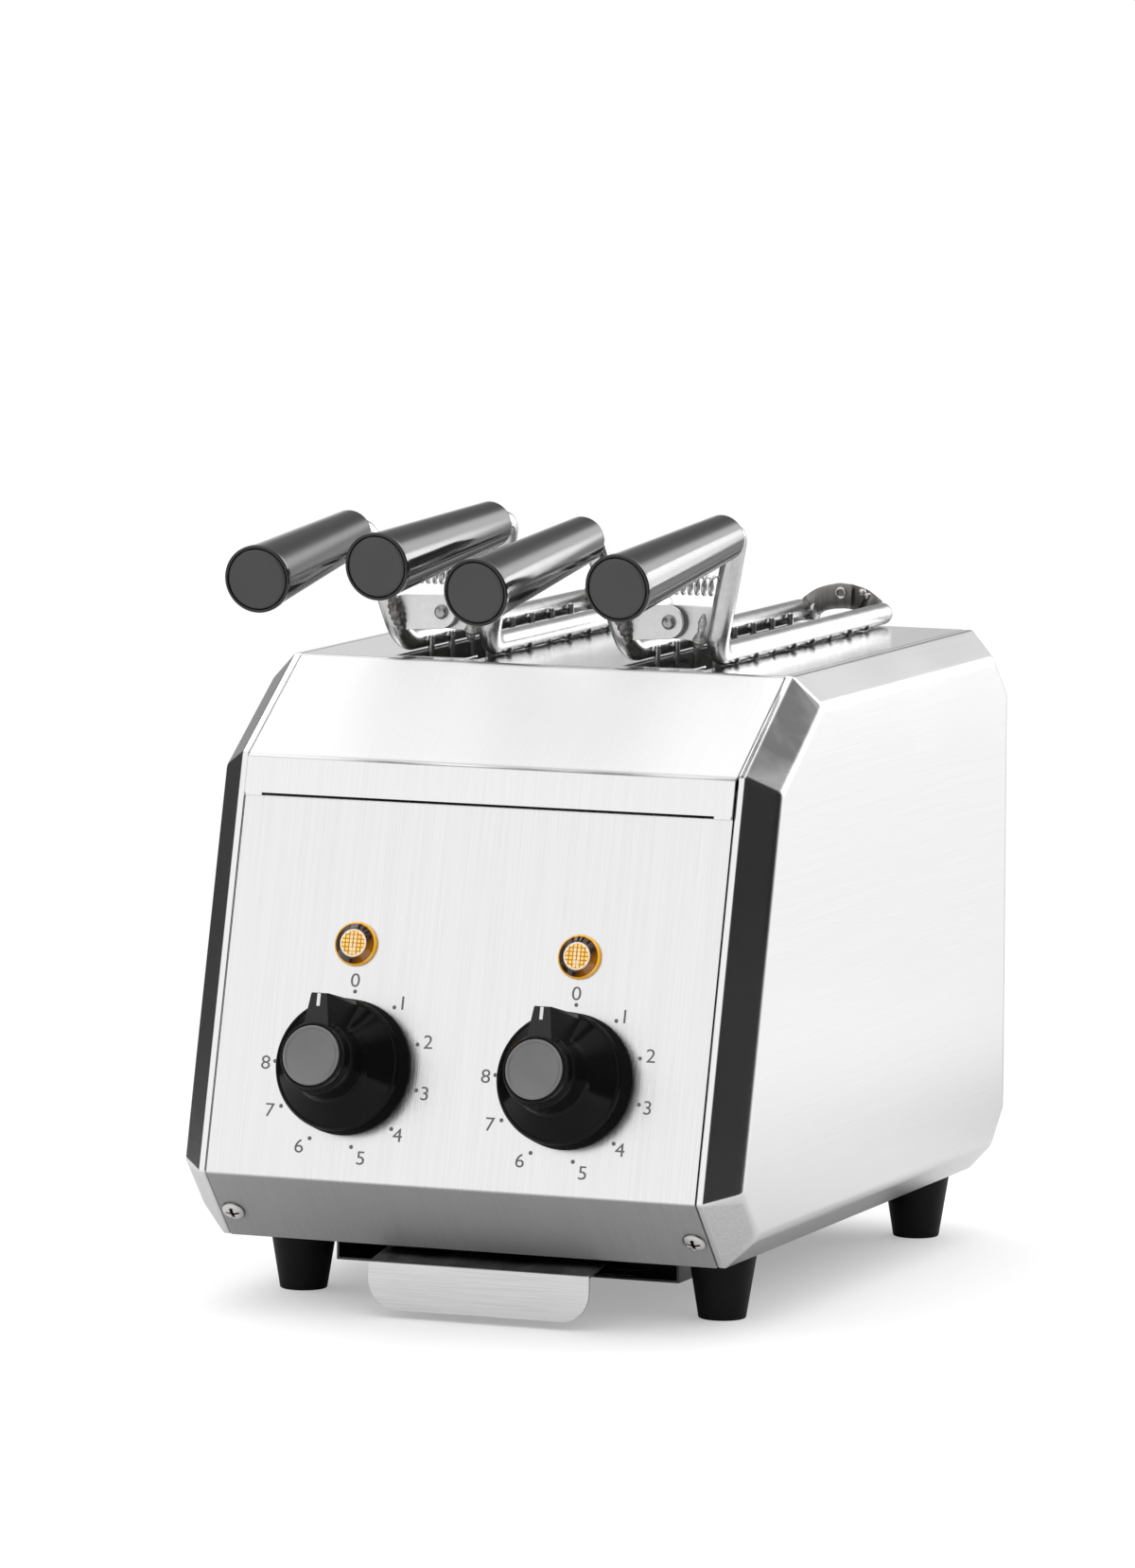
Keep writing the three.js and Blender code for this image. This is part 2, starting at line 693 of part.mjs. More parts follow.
function trayChannel() {
  const half = channelSpan / 2;
  const section = shapeOf([
    [-half, channelTop], [-half, channelTop - channelHeight], [half, channelTop - channelHeight], [half, channelTop],
    [half - channelWall, channelTop], [half - channelWall, channelFloor],
    [channelWall - half, channelFloor], [channelWall - half, channelTop],
  ]);
  const louvres = [];
  for (const side of [-1, 1]) {
    for (let row = 0; row < louvreRows; row += 1) {
      const depth = channelFrontDepth + louvreLength + row * louvrePitch;
      louvres.push(box(side * louvreOut - louvreWidth / 2, side * louvreOut + louvreWidth / 2, depth,
        depth + louvreLength, channelFloor - channelWall - overrun, channelFloor + overrun));
    }
  }
  return cut(alongDepth(section, channelFrontDepth, channelFrontDepth + channelLength), ...louvres);
}

function crumbTray() {
  const floor = channelFloor + seam;
  const rim = floor + trayHeight;
  const half = traySpan / 2;
  const back = trayFrontDepth + trayLength;
  const pan = cut(
    box(-half, half, trayFrontDepth, back, floor, rim),
    box(trayWall - half, half - trayWall, trayFrontDepth + trayWall, back - trayWall, floor + trayWall, rim + overrun),
  );
  // The neck leaves the front wall's rim, dips towards the fold and turns down into the plate.
  const neckLine = [[trayFrontDepth + trayWall, rim], [tabKneeDepth, rim], [tabFoldDepth, tabFoldHeight]];
  const neckUnder = offsetLine(neckLine, -trayWall);
  const neck = across(shapeOf([...neckLine, ...neckUnder.reverse()]), tabOffset - tabSpan / 2, tabOffset + tabSpan / 2);
  const plate = new THREE.Shape();
  const [left, right] = [tabOffset - tabSpan / 2, tabOffset + tabSpan / 2];
  const low = tabFoldHeight - tabPlate;
  plate.moveTo(left, tabFoldHeight);
  plate.lineTo(left, low + tabCornerRadius);
  plate.absarc(left + tabCornerRadius, low + tabCornerRadius, tabCornerRadius, Math.PI, Math.PI * 1.5, false);
  plate.absarc(right - tabCornerRadius, low + tabCornerRadius, tabCornerRadius, Math.PI * 1.5, Math.PI * 2, false);
  plate.lineTo(right, tabFoldHeight);
  plate.closePath();
  return joined(pan, neck, alongDepth(plate, tabFoldDepth, tabFoldDepth + trayWall));
}

place('tray_channel', trayChannel(), materials.brushed);
place('crumb_tray', crumbTray(), materials.brushed);

// Timer dials and lamps. Each group stands on the front panel, with local Z out of it and local Y up it.

function onFrontPanel(x, up) {
  const group = new THREE.Group();
  const basis = new THREE.Matrix4().makeBasis(new THREE.Vector3(1, 0, 0), frontUp, frontOut);
  group.quaternion.setFromRotationMatrix(basis);
  group.position.copy(panelPoint(x, up));
  toaster.add(group);
  return group;
}

const capFloor = hubTopHeight - dialCapHeight;

function dial() {
  const bore = capFloor - shaftInDial / 2;
  const knob = turned([
    [shaftRadius + shaftFit, skirtRearHeight + skirtWall], [skirtRadius - skirtWall, skirtRearHeight + skirtWall],
    [skirtRadius - skirtWall, skirtRearHeight], [skirtRearRadius, skirtRearHeight],
    [skirtRadius, skirtFrontHeight], [skirtRadius - skirtWall / 2, skirtFrontHeight + skirtWall / 4],
    [hubFootRadius, hubFootHeight], [hubShoulderRadius, hubShoulderHeight],
    [hubTopRadius, hubShoulderHeight], [hubTopRadius, hubTopHeight], [dialCapRadius + seam, hubTopHeight],
    [dialCapRadius + seam, capFloor], [0, capFloor], [0, bore], [shaftRadius + shaftFit, bore],
    [shaftRadius + shaftFit, skirtRearHeight + skirtWall],
  ], dialSides);
  const [inner, outer] = [pointerInnerWidth / 2, pointerOuterWidth / 2];
  const pointer = new THREE.ExtrudeGeometry(shapeOf([
    [-inner, hubTopRadius - pointerBite], [inner, hubTopRadius - pointerBite], [outer, pointerReach], [-outer, pointerReach],
  ]), { depth: pointerTop - skirtFrontHeight, bevelEnabled: false });
  pointer.translate(0, 0, skirtFrontHeight);
  return joined(knob, pointer);
}

function dialCap() {
  const low = capFloor + seam;
  return turned([
    [0, low], [dialCapRadius, low], [dialCapRadius, low + dialCapHeight], [dialCapRadius * 0.8, low + dialCapHeight * 0.8],
    [0, low + dialCapHeight - dialCapDish],
  ], dialSides);
}

function timerShaft() {
  return rod(shaftRadius, seam - sheet - timerDepth / 2, capFloor - shaftInDial / 2 - seam, shaftSides);
}

function timer() {
  const front = -sheet - seam;
  return turned([
    [shaftRadius + shaftFit, front - timerDepth / 2 - seam], [0, front - timerDepth / 2 - seam],
    [0, front - timerDepth], [timerRadius, front - timerDepth], [timerRadius, front], [bushRadius, front],
    [bushRadius, bushNose], [shaftRadius + shaftFit, bushNose], [shaftRadius + shaftFit, front - timerDepth / 2 - seam],
  ], timerSides);
}

function lamp() {
  return turned([
    [0, -lampBodyDepth], [lampBodyRadius, -lampBodyDepth], [lampBodyRadius, seam], [lampRadius, seam],
    [lampRadius, lampRimHeight], [lampRadius - seam * 3, lampRimHeight + seam],
    [lampFaceRadius, lampHeight - seam * 2], [lampFaceRadius - seam * 2, lampHeight], [0, lampHeight],
  ], lampSides);
}

dialPlaces.forEach((x, i) => {
  const name = i ? 'right' : 'left';
  const stand = onFrontPanel(x, dialUp);
  place(`timer_dial_${name}`, dial(), materials.dial, stand);
  place(`dial_cap_${name}`, dialCap(), materials.dialCap, stand);
  place(`timer_shaft_${name}`, timerShaft(), materials.mirror, stand);
  place(`timer_${name}`, timer(), materials.plastic, stand);
  place(`lamp_${name}`, lamp(), materials.lamp, onFrontPanel(x, lampUp));
});

// Heating chamber: one open box of sheet round both slots, quartz elements and wire guards.

const chamber = {
  low: bodyBottom + sheet + seam,
  high: bodyTop - sheet - seam,
  front: heatFrontDepth,
  rear: heatFrontDepth + heatLength,
};
const elementRows = [-outerElementOut, 0, outerElementOut];

function heatBox() {
  const walls = cut(
    box(-heatHalfSpan, heatHalfSpan, chamber.front, chamber.rear, chamber.low, chamber.high),
    box(sheet - heatHalfSpan, heatHalfSpan - sheet, chamber.front + sheet, chamber.rear - sheet,
      chamber.low - overrun, chamber.high + overrun),
  );
  const along = new THREE.Vector3(0, 1, 0);
  const holes = elementRows.flatMap((x) => elementHeights.map((height) => (
    aimed(rod(elementRadius + seam, -overrun, heatLength + overrun, elementSides),
      new THREE.Vector3(x, chamber.front, height), along)
  )));
  return cut(walls, ...holes);
}

function element(x, height) {
  const reach = heatLength + seam;
  const shape = turned([
    [0, -seam - elementHeadLength], [elementHeadRadius, -seam - elementHeadLength], [elementHeadRadius, -seam],
    [elementRadius, -seam], [elementRadius, reach], [elementHeadRadius, reach],
    [elementHeadRadius, reach + elementHeadLength], [0, reach + elementHeadLength],
  ], elementSides);
  return aimed(shape, new THREE.Vector3(x, chamber.front, height), new THREE.Vector3(0, 1, 0));
}

function guard(x) {
  const [y0, y1] = [chamber.front + sheet + seam, chamber.rear - sheet - seam];
  const along = new THREE.Vector3(0, 1, 0);
  const up = new THREE.Vector3(0, 0, 1);
  const [low, high] = [guardHeights[0] - gridBarOverhang, guardHeights[guardHeights.length - 1] + gridBarOverhang];
  const bars = guardHeights.map((height) => (
    aimed(rod(guardWireRadius, 0, y1 - y0, wireSides), new THREE.Vector3(x, y0, height), along)
  ));
  const posts = guardPostShares.map((share) => (
    aimed(rod(guardWireRadius, 0, high - low, wireSides),
      new THREE.Vector3(x + (2 * guardWireRadius - gridBite) * Math.sign(x), y0 + (y1 - y0) * share, low), up)
  ));
  return joined(...bars, ...posts);
}

place('heat_box', heatBox(), materials.mirror);
elementRows.forEach((x, i) => {
  const name = ['left', 'middle', 'right'][i];
  elementHeights.forEach((height, j) => {
    place(`heating_tube_${name}_${j ? 'upper' : 'lower'}`, element(x, height), materials.quartz);
  });
});
for (const [name, x] of [
  ['left_outer', -slotPitch / 2 - guardOut], ['left_inner', guardOut - slotPitch / 2],
  ['right_inner', slotPitch / 2 - guardOut], ['right_outer', slotPitch / 2 + guardOut],
]) place(`wire_guard_${name}`, guard(x), materials.wire);

// Terminal block on the base pan and cable gland in the back panel.

function terminalBlock() {
  const low = bodyBottom + sheet + seam;
  const front = chamber.rear + seam;
  const [x0, x1] = [glandOut - terminalWidth / 2, glandOut + terminalWidth / 2];
  const grooves = [];
  for (let i = 1; i < terminalSteps; i += 1) {
    const x = x0 + (terminalWidth * i) / terminalSteps;
    grooves.push(box(x - terminalGroove / 2, x + terminalGroove / 2, front - overrun, front + terminalDepth + overrun,
      low + terminalHeight - terminalGrooveDepth, low + terminalHeight + overrun));
  }
  return cut(box(x0, x1, front, front + terminalDepth, low, low + terminalHeight), ...grooves);
}

function cableGland() {
  const gland = turned([
    [glandBore, -glandNeck], [glandNeckRadius, -glandNeck], [glandNeckRadius, seam], [glandRadius, seam],
    [glandRadius, seam + glandFlange], [glandNoseRadius, seam + glandFlange],
    [glandNoseRadius - glandFlange / 2, glandNose], [glandBore, glandNose], [glandBore, -glandNeck],
  ], glandSides);
  return aimed(gland, new THREE.Vector3(glandOut, rearFootCreaseDepth, glandHeight), new THREE.Vector3(0, 1, 0));
}

place('terminal_block', terminalBlock(), materials.plastic);
place('cable_gland', cableGland(), materials.rubber);

// Tongs. Each pair has two bent tubes that turn on a rivet in front and an eyelet at the back.

const railHeight = bodyTop + railClearance + tubeRadius;
const pivotFront = new THREE.Vector2(pivotDepth, bodyTop + pivotHeight);
const pivotRear = new THREE.Vector2(railRearDepth, bodyTop + rearPivotHeight);

function gripEnds(grip, side, middle) {
  const cap = new THREE.Vector3(middle + side * grip.capOut, gripFrontDepth, bodyTop + grip.capRise);
  const spread = Math.hypot(grip.bendOut - grip.capOut, grip.bendRise - grip.capRise);
  const bend = new THREE.Vector3(middle + side * grip.bendOut, gripFrontDepth + Math.sqrt(gripLength ** 2 - spread ** 2),
    bodyTop + grip.bendRise);
  return { cap, bend, along: bend.clone().sub(cap).normalize() };
}

// The left half's lug and strap lie in front of the right half's.
function lugDepth(side) {
  return pivotDepth + (side > 0 ? lugThickness + 2 * rivetFit + sheet : 0);
}

function strapDepth(side) {
  return railRearDepth + (side > 0 ? seam / 2 : -seam / 2 - strapThickness);
}

function tongHalf(grip, side, middle) {
  const { bend, along } = gripEnds(grip, side, middle);
  const x = middle + side * railHalfSpan;
  const riserFoot = new THREE.Vector3(x, railFrontDepth - tubeRadius, railHeight);
  const riserTop = new THREE.Vector3(x + side * riserSpread, railFrontDepth - tubeRadius - riserLean, bodyTop + riserHeight);
  const rising = riserTop.clone().sub(riserFoot);
  const turnPoint = riserFoot.clone().addScaledVector(rising, (bend.z - riserFoot.z) / rising.z);
  const corners = [
    bend.clone().addScaledVector(along, -tubeInGrip),
    bend.clone().addScaledVector(along, tubeRadius),
    turnPoint,
    riserFoot,
    new THREE.Vector3(x, railRearDepth, railHeight),
    new THREE.Vector3(x - side * (elbowRadius + elbowStub), railRearDepth, railHeight),
  ];
  const pipe = tube(bentStations(corners, [tubeBendRadius, tubeBendRadius, tubeBendRadius, elbowRadius]), tubeRadius, tubeSides);
  const lug = alongDepth(linkShape(middle, pivotFront.y, lugRadius, middle + side * lugRoot,
    pivotFront.y - lugRootDrop, lugRootRadius), lugDepth(side), lugDepth(side) + lugThickness);
  const strapPoint = (heights) => (out, i) => [middle + side * out, bodyTop + heights[i]];
  const strapLine = [...strapOuts.map(strapPoint(strapTops)), ...strapOuts.map(strapPoint(strapUndersides)).reverse()];
  const strap = alongDepth(shapeOf(strapLine), strapDepth(side), strapDepth(side) + strapThickness);
  const back = new THREE.Vector3(0, 1, 0);
  const frontHole = aimed(rod(rivetRadius + rivetFit, -overrun, 3 * lugThickness + overrun, rivetSides),
    new THREE.Vector3(middle, pivotDepth, pivotFront.y), back);
  const rearHole = aimed(rod(eyeletRadius - eyeletRim + rivetFit, -3 * strapThickness, 3 * strapThickness, rivetSides),
    new THREE.Vector3(middle, railRearDepth, pivotRear.y), back);
  return cut(joined(pipe, lug, strap), frontHole, rearHole);
}

function gripSleeve() {
  const bore = tubeRadius + gripBoreFit;
  const mouth = gripRadius - gripRim;
  return turned([
    [0, capRecess], [mouth, capRecess], [mouth, 0], [gripRadius - gripRim / 3, 0], [gripRadius, gripChamfer],
    [gripRearRadius, gripLength - gripChamfer], [gripRearRadius - gripChamfer, gripLength], [bore, gripLength],
    [bore, gripLength - tubeInGrip - gripBoreFit * 2], [0, gripLength - tubeInGrip - gripBoreFit * 2],
  ], gripSides);
}

function gripCap() {
  const radius = gripRadius - gripRim - seam;
  return turned([
    [0, capRecess - seam], [radius, capRecess - seam], [radius, 0], [radius * 0.9, -capCrown], [0, -capCrown],
  ], gripSides);
}

function tongGrid(side, middle) {
  const x = middle + side * (railHalfSpan - tubeRadius - wireRadius - seam);
  const top = bodyTop + gridTopRise;
  const low = bodyTop - gridDrop;
  const wires = [];
  for (let i = 0; i < gridCount; i += 1) {
    const y = gridFirstDepth + i * gridPitch;
    wires.push(tube(bentStations([
      new THREE.Vector3(x, y, top), new THREE.Vector3(x, y, low), new THREE.Vector3(x - side * gridHook, y, low),
    ], [gridHookRadius], hookSampleShares), wireRadius, wireSides));
  }
  const length = (gridCount - 1) * gridPitch + 2 * gridBarOverhang;
  const bars = gridBarHeightShares.map((share) => aimed(
    rod(wireRadius, 0, length, wireSides),
    new THREE.Vector3(x + side * (2 * wireRadius - gridBite), gridFirstDepth - gridBarOverhang, bodyTop - gridDrop * share),
    new THREE.Vector3(0, 1, 0),
  ));
  return joined(...wires, ...bars);
}

function pivotRivet(middle) {
  const gap = 2 * rivetFit + sheet;
  const reach = 2 * lugThickness + gap;
  const rivet = turned([
    [0, -rivetFit - rivetHeadHeight], [rivetHeadRadius * 0.6, -rivetFit - rivetHeadHeight * 0.8],
    [rivetHeadRadius, -rivetFit], [rivetRadius, -rivetFit],
    [rivetRadius, lugThickness + rivetFit], [washerRadius, lugThickness + rivetFit],
    [washerRadius, lugThickness + gap - rivetFit], [rivetRadius, lugThickness + gap - rivetFit],
    [rivetRadius, reach + rivetFit], [rivetHeadRadius, reach + rivetFit],
    [rivetHeadRadius * 0.6, reach + rivetFit + rivetHeadHeight * 0.8], [0, reach + rivetFit + rivetHeadHeight],
  ], rivetSides);
  return aimed(rivet, new THREE.Vector3(middle, pivotDepth, pivotFront.y), new THREE.Vector3(0, 1, 0));
}

function rearEyelet(middle) {
  const neck = eyeletRadius - eyeletRim;
  const reach = strapThickness + seam / 2 + rivetFit;
  const eyelet = turned([
    [eyeletBore, -reach - eyeletRim], [eyeletRadius + eyeletRim, -reach - eyeletRim / 2],
    [eyeletRadius + eyeletRim, -reach], [neck, -reach],
    [neck, reach], [eyeletRadius + eyeletRim, reach], [eyeletRadius + eyeletRim, reach + eyeletRim / 2],
    [eyeletBore, reach + eyeletRim], [eyeletBore, -reach - eyeletRim],
  ], rivetSides);
  return aimed(eyelet, new THREE.Vector3(middle, railRearDepth, pivotRear.y), new THREE.Vector3(0, 1, 0));
}

// Coils along X between the inner sides of the two risers, with a short straight end at each riser.
function returnSpring(middle) {
  const climb = (springHeight + springRadius + bodyTop - railHeight) / (riserHeight + bodyTop - railHeight);
  const y = railFrontDepth - tubeRadius - riserLean * climb;
  const z = bodyTop + springHeight;
  const half = railHalfSpan + riserSpread * climb - tubeRadius - springSeat;
  const coilHalf = half - 2 * springWireRadius;
  const stations = [new THREE.Vector3(middle - half, y, z + springRadius)];
  const steps = springCurls * springStepsPerCurl;
  for (let i = 0; i <= steps; i += 1) {
    const angle = (2 * Math.PI * i) / springStepsPerCurl;
    stations.push(new THREE.Vector3(
      middle - coilHalf + (2 * coilHalf * i) / steps,
      y + springRadius * Math.sin(angle),
      z + springRadius * Math.cos(angle),
    ));
  }
  stations.push(new THREE.Vector3(middle + half, y, z + springRadius));
  return { stations, geometry: tube(stations, springWireRadius, springSides) };
}

// Least gap between turns of a wound wire, measured on the stations at least half a curl apart.
function leastGap(stations) {
  let least = Infinity;
  for (let i = 0; i < stations.length; i += 1) {
    for (let j = i + springStepsPerCurl / 2; j < stations.length; j += 1) {
      least = Math.min(least, stations[i].distanceTo(stations[j]));
    }
  }
  return least - 2 * springWireRadius;
}

function tongs(name, middle, grips) {
  for (const [half, side] of [['left', -1], ['right', 1]]) {
    const { cap, along } = gripEnds(grips[half], side, middle);
    place(`${name}_tube_${half}`, tongHalf(grips[half], side, middle), materials.mirror);
    place(`${name}_grid_${half}`, tongGrid(side, middle), materials.wire);
    place(`${name}_grip_${half}`, aimed(gripSleeve(), cap, along), materials.grip);
    place(`${name}_grip_cap_${half}`, aimed(gripCap(), cap, along), materials.cap);
  }
  place(`${name}_rivet`, pivotRivet(middle), materials.dark);
  place(`${name}_eyelet`, rearEyelet(middle), materials.mirror);
  const { stations, geometry } = returnSpring(middle);
  console.log(`${name}_spring least gap to itself ${leastGap(stations).toFixed(2)} mm`);
  place(`${name}_spring`, geometry, materials.spring);
}

tongs('left_tongs', -slotPitch / 2, leftTongGrips);
tongs('right_tongs', slotPitch / 2, rightTongGrips);

// The origin is the middle of the underside of the whole toaster's box.
const extent = new THREE.Box3().setFromObject(toaster, true);
const centre = extent.getCenter(new THREE.Vector3());
toaster.position.set(-centre.x, -centre.y, -extent.min.z);
toaster.updateMatrixWorld(true);

export default toaster;
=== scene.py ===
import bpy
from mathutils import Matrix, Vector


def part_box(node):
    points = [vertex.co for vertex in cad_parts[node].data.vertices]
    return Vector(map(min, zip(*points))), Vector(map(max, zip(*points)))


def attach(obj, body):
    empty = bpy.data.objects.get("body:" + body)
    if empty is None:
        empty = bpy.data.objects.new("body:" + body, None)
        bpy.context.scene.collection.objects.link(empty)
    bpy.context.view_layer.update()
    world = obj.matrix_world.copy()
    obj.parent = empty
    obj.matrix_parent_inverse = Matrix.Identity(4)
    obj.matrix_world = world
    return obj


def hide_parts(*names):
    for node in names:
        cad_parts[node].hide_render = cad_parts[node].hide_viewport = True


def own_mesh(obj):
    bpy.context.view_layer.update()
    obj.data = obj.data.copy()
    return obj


bl_info = {
    "name": "Sandwich toaster",
    "version": (1, 0, 0),
    "blender": (4, 5, 0),
    "location": "3D View > Sidebar > Toaster",
    "description": "Dresses the packed solids of a sandwich toaster with two pairs of tongs",
    "category": "Object",
}

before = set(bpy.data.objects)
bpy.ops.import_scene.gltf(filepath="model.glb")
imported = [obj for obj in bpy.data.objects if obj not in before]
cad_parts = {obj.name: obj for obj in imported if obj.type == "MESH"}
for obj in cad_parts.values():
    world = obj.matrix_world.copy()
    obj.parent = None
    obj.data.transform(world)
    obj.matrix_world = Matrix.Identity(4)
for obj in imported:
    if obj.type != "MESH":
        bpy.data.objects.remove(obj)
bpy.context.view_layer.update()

from math import acos, atan2, cos, hypot, pi, radians, sin, tan

import bmesh
import bpy
import numpy as np
from bpy.props import FloatProperty, FloatVectorProperty, PointerProperty
from mathutils import Matrix

MM = 0.001

# The front crease of the body is where depths are measured from.
CREASE_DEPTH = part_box("side_panel_left")[0][1]

# Sizes from here on are in millimetres.
BASE = 23.15
CREASE = 47.7
DECK = 219.5
# Side view of the body as (depth, height), from the lower front edge up and round to the back.
OUTLINE = np.array([
    (22.2, BASE), (0, CREASE), (36.7, 189.35), (82.3, DECK),
    (268.3, DECK), (289.4, 200.5), (291.2, 41), (273, BASE),
])
LEAN = atan2(*(OUTLINE[2] - OUTLINE[1]))
PANEL_UP = np.array([0, sin(LEAN), cos(LEAN)])
PANEL_OUT = np.array([0, -cos(LEAN), sin(LEAN)])
FACET = OUTLINE[1] - OUTLINE[0]
FACET_OUT = np.array([0, -FACET[1], FACET[0]]) / hypot(*FACET)
RIGHT = np.array([1.0, 0, 0])
SHEET = 1.0
SEAM = 0.3
HALF_WIDTH = 90.0
# The folded sheets end a seam short of the side panels, with a close line of points that keeps them flat.
EDGE = HALF_WIDTH - SEAM
EDGE_BREAKS = [-EDGE, 0.4 - EDGE, EDGE - 0.4, EDGE]
SLOT_MIDDLES = {"left": -42.4, "right": 42.4}
SLOT_HALF = 15.5
SLOT_FRONT = 90.0
SLOT_REAR = 254.0
FLAP = 12.6
FOOT_MIDDLE = 78
FOOT_DEPTHS = {"front": 58.7, "rear": 256.8}
SCREW_MIDDLE = 84.9
DIAL_MIDDLES = {"left": -41.5, "right": 39.9}
DIAL_UP = 39.2
PRINT_UP = 38.6
LAMP_MIDDLES = {"left": -42.75, "right": 39.5}
LAMP_UP = 81.8
LAMP_RADIUS = 7.7
TUBE = 3.9
SIDES = {"left": -1, "right": 1}


# ------------------------------------------------------------------ sizes and colours

def grey(level):
    return (level, level, level)


def times(entries, factor):
    return tuple(c * factor for c in entries)


def length(name, text, millimetres):
    return FloatProperty(name=name, description=text, default=millimetres * MM, unit="LENGTH", precision=4)


def share(name, text, value):
    return FloatProperty(name=name, description=text, default=value, min=0, max=1, subtype="FACTOR")


def colour(name, text, value):
    return FloatVectorProperty(
        name=name, description=text, default=value, size=3, min=0, max=1, subtype="COLOR")


class ToasterBody(bpy.types.PropertyGroup):
    steel: colour("Steel", "Colour of the brushed steel of the body", grey(0.87))
    roughness: share("Steel roughness", "How dull the front panel's steel is", 0.24)
    bend: length("Bend radius", "Outer radius of the folds in the sheet", 1.6)
    press: length("Press radius", "Outer radius of the bends of the side panels", 1.3)
    foot: colour("Feet", "Colour of the rubber feet", grey(0.006))


class ToasterDials(bpy.types.PropertyGroup):
    black: colour("Dial", "Colour of the moulded dials", grey(0.003))
    cap: colour("Dial cap", "Colour of the caps let into the dials", (0.13, 0.13, 0.133))
    print_grey: colour("Print", "Colour of the printed numbers and dots", (0.13, 0.13, 0.135))
    digit_height: length("Number height", "Height of the printed numbers", 4.87)
    dot_radius: length("Dot radius", "Radius of the printed dots", 0.72)
    lamp: colour("Lamp", "Colour of the lamps", (0.93, 0.46, 0.02))


class ToasterTongs(bpy.types.PropertyGroup):
    tube_radius: length("Tube radius", "Radius of the bent tubes", TUBE)
    wire_radius: length("Wire radius", "Radius of the grid wires", 1.1)
    grip_radius: length("Handle radius", "Radius of the handle sleeves at the cap", 11.6)
    grip_rear: length("Handle rear radius", "Radius of the handle sleeves at the bend", 8.1)
    tube: colour("Tube", "Colour of the tubes", grey(0.64))
    grip: colour("Handle", "Colour of the handle sleeves", grey(0.012))
    grip_cap: colour("Handle cap", "Colour of the handle caps", (0.042, 0.042, 0.043))


class ToasterStudio(bpy.types.PropertyGroup):
    floor: colour("Floor", "Colour of the floor", grey(0.65))
    key: FloatProperty(name="Top light", description="Power in watts of the softbox above", default=7.0)
    edge: FloatProperty(name="Edge light", description="Power in watts of the softbox behind", default=1.7)


def sizes(context, group):
    return getattr(context.scene, group)


# ------------------------------------------------------------------ shader maths

class Value:
    """One number in a shader. Python's operators on it add the Math nodes."""

    def __init__(self, surface, socket):
        self.surface = surface
        self.socket = socket

    def __add__(self, other):
        return self.surface.maths("ADD", self, other)

    def __sub__(self, other):
        return self.surface.maths("SUBTRACT", self, other)

    def __rsub__(self, other):
        return self.surface.maths("SUBTRACT", other, self)

    def __mul__(self, other):
        return self.surface.maths("MULTIPLY", self, other)

    def __truediv__(self, other):
        return self.surface.maths("DIVIDE", self, other)

    def __pow__(self, other):
        return self.surface.maths("POWER", self, other)

    __radd__ = __add__
    __rmul__ = __mul__

    def least(self, other):
        return self.surface.maths("MINIMUM", self, other)

    def most(self, other):
        return self.surface.maths("MAXIMUM", self, other)

    def size(self):
        return self.surface.maths("ABSOLUTE", self)

    def sine(self):
        return self.surface.maths("SINE", self)

    def rise(self, low, high, to_low=0.0, to_high=1.0):
        """Goes smoothly from to_low at low to to_high at high."""
        return self.surface.node(
            "ShaderNodeMapRange", {"interpolation_type": "SMOOTHSTEP"},
            {"Value": self, "From Min": low, "From Max": high, "To Min": to_low, "To Max": to_high},
        )


class Nodes:
    """A node tree whose nodes come from one method."""

    def __init__(self, tree):
        self.tree = tree
        tree.nodes.clear()

    def node(self, kind, settings=None, inputs=None, output=0):
        made = self.tree.nodes.new(kind)
        for key, value in (settings or {}).items():
            setattr(made, key, value)
        for key, value in (inputs or {}).items():
            if isinstance(value, Value):
                self.tree.links.new(value.socket, made.inputs[key])
            else:
                made.inputs[key].default_value = value
        return Value(self, made.outputs[output])

    def maths(self, operation, *values):
        return self.node("ShaderNodeMath", {"operation": operation}, dict(enumerate(values)))

    def mix(self, factor, first, second):
        """A colour between first at 0 and second at 1."""
        first, second = (c if isinstance(c, Value) else (*c, 1) for c in (first, second))
        return self.node("ShaderNodeMix", {"data_type": "RGBA"}, {0: factor, 6: first, 7: second}, 2)

    def shades(self, factor, tint, low, high=1.0):
        """A colour between tint times low at 0 and tint times high at 1."""
        return self.mix(factor, times(tint, low), times(tint, high))

    def noise(self, vector, scale, detail=2.0, roughness=0.5):
        return self.node("ShaderNodeTexNoise", {}, {
            "Vector": vector, "Scale": scale, "Detail": detail, "Roughness": roughness})

    def place(self):
        return self.node("ShaderNodeTexCoord", output=3)

    def stretched(self, *scale):
        """Object coordinates scaled along each axis, in cycles per metre."""
        return self.node("ShaderNodeMapping", {}, {"Vector": self.place(), "Scale": scale})

    def hairlines(self, across):
        """A grain whose lines run across the large entries of across, in cycles per metre."""
        return self.noise(self.stretched(*across), 1.0, 3.0, 0.7)

    def parts(self, vector):
        made = self.tree.nodes.new("ShaderNodeSeparateXYZ")
        self.tree.links.new(vector.socket, made.inputs[0])
        return [Value(self, socket) for socket in made.outputs]


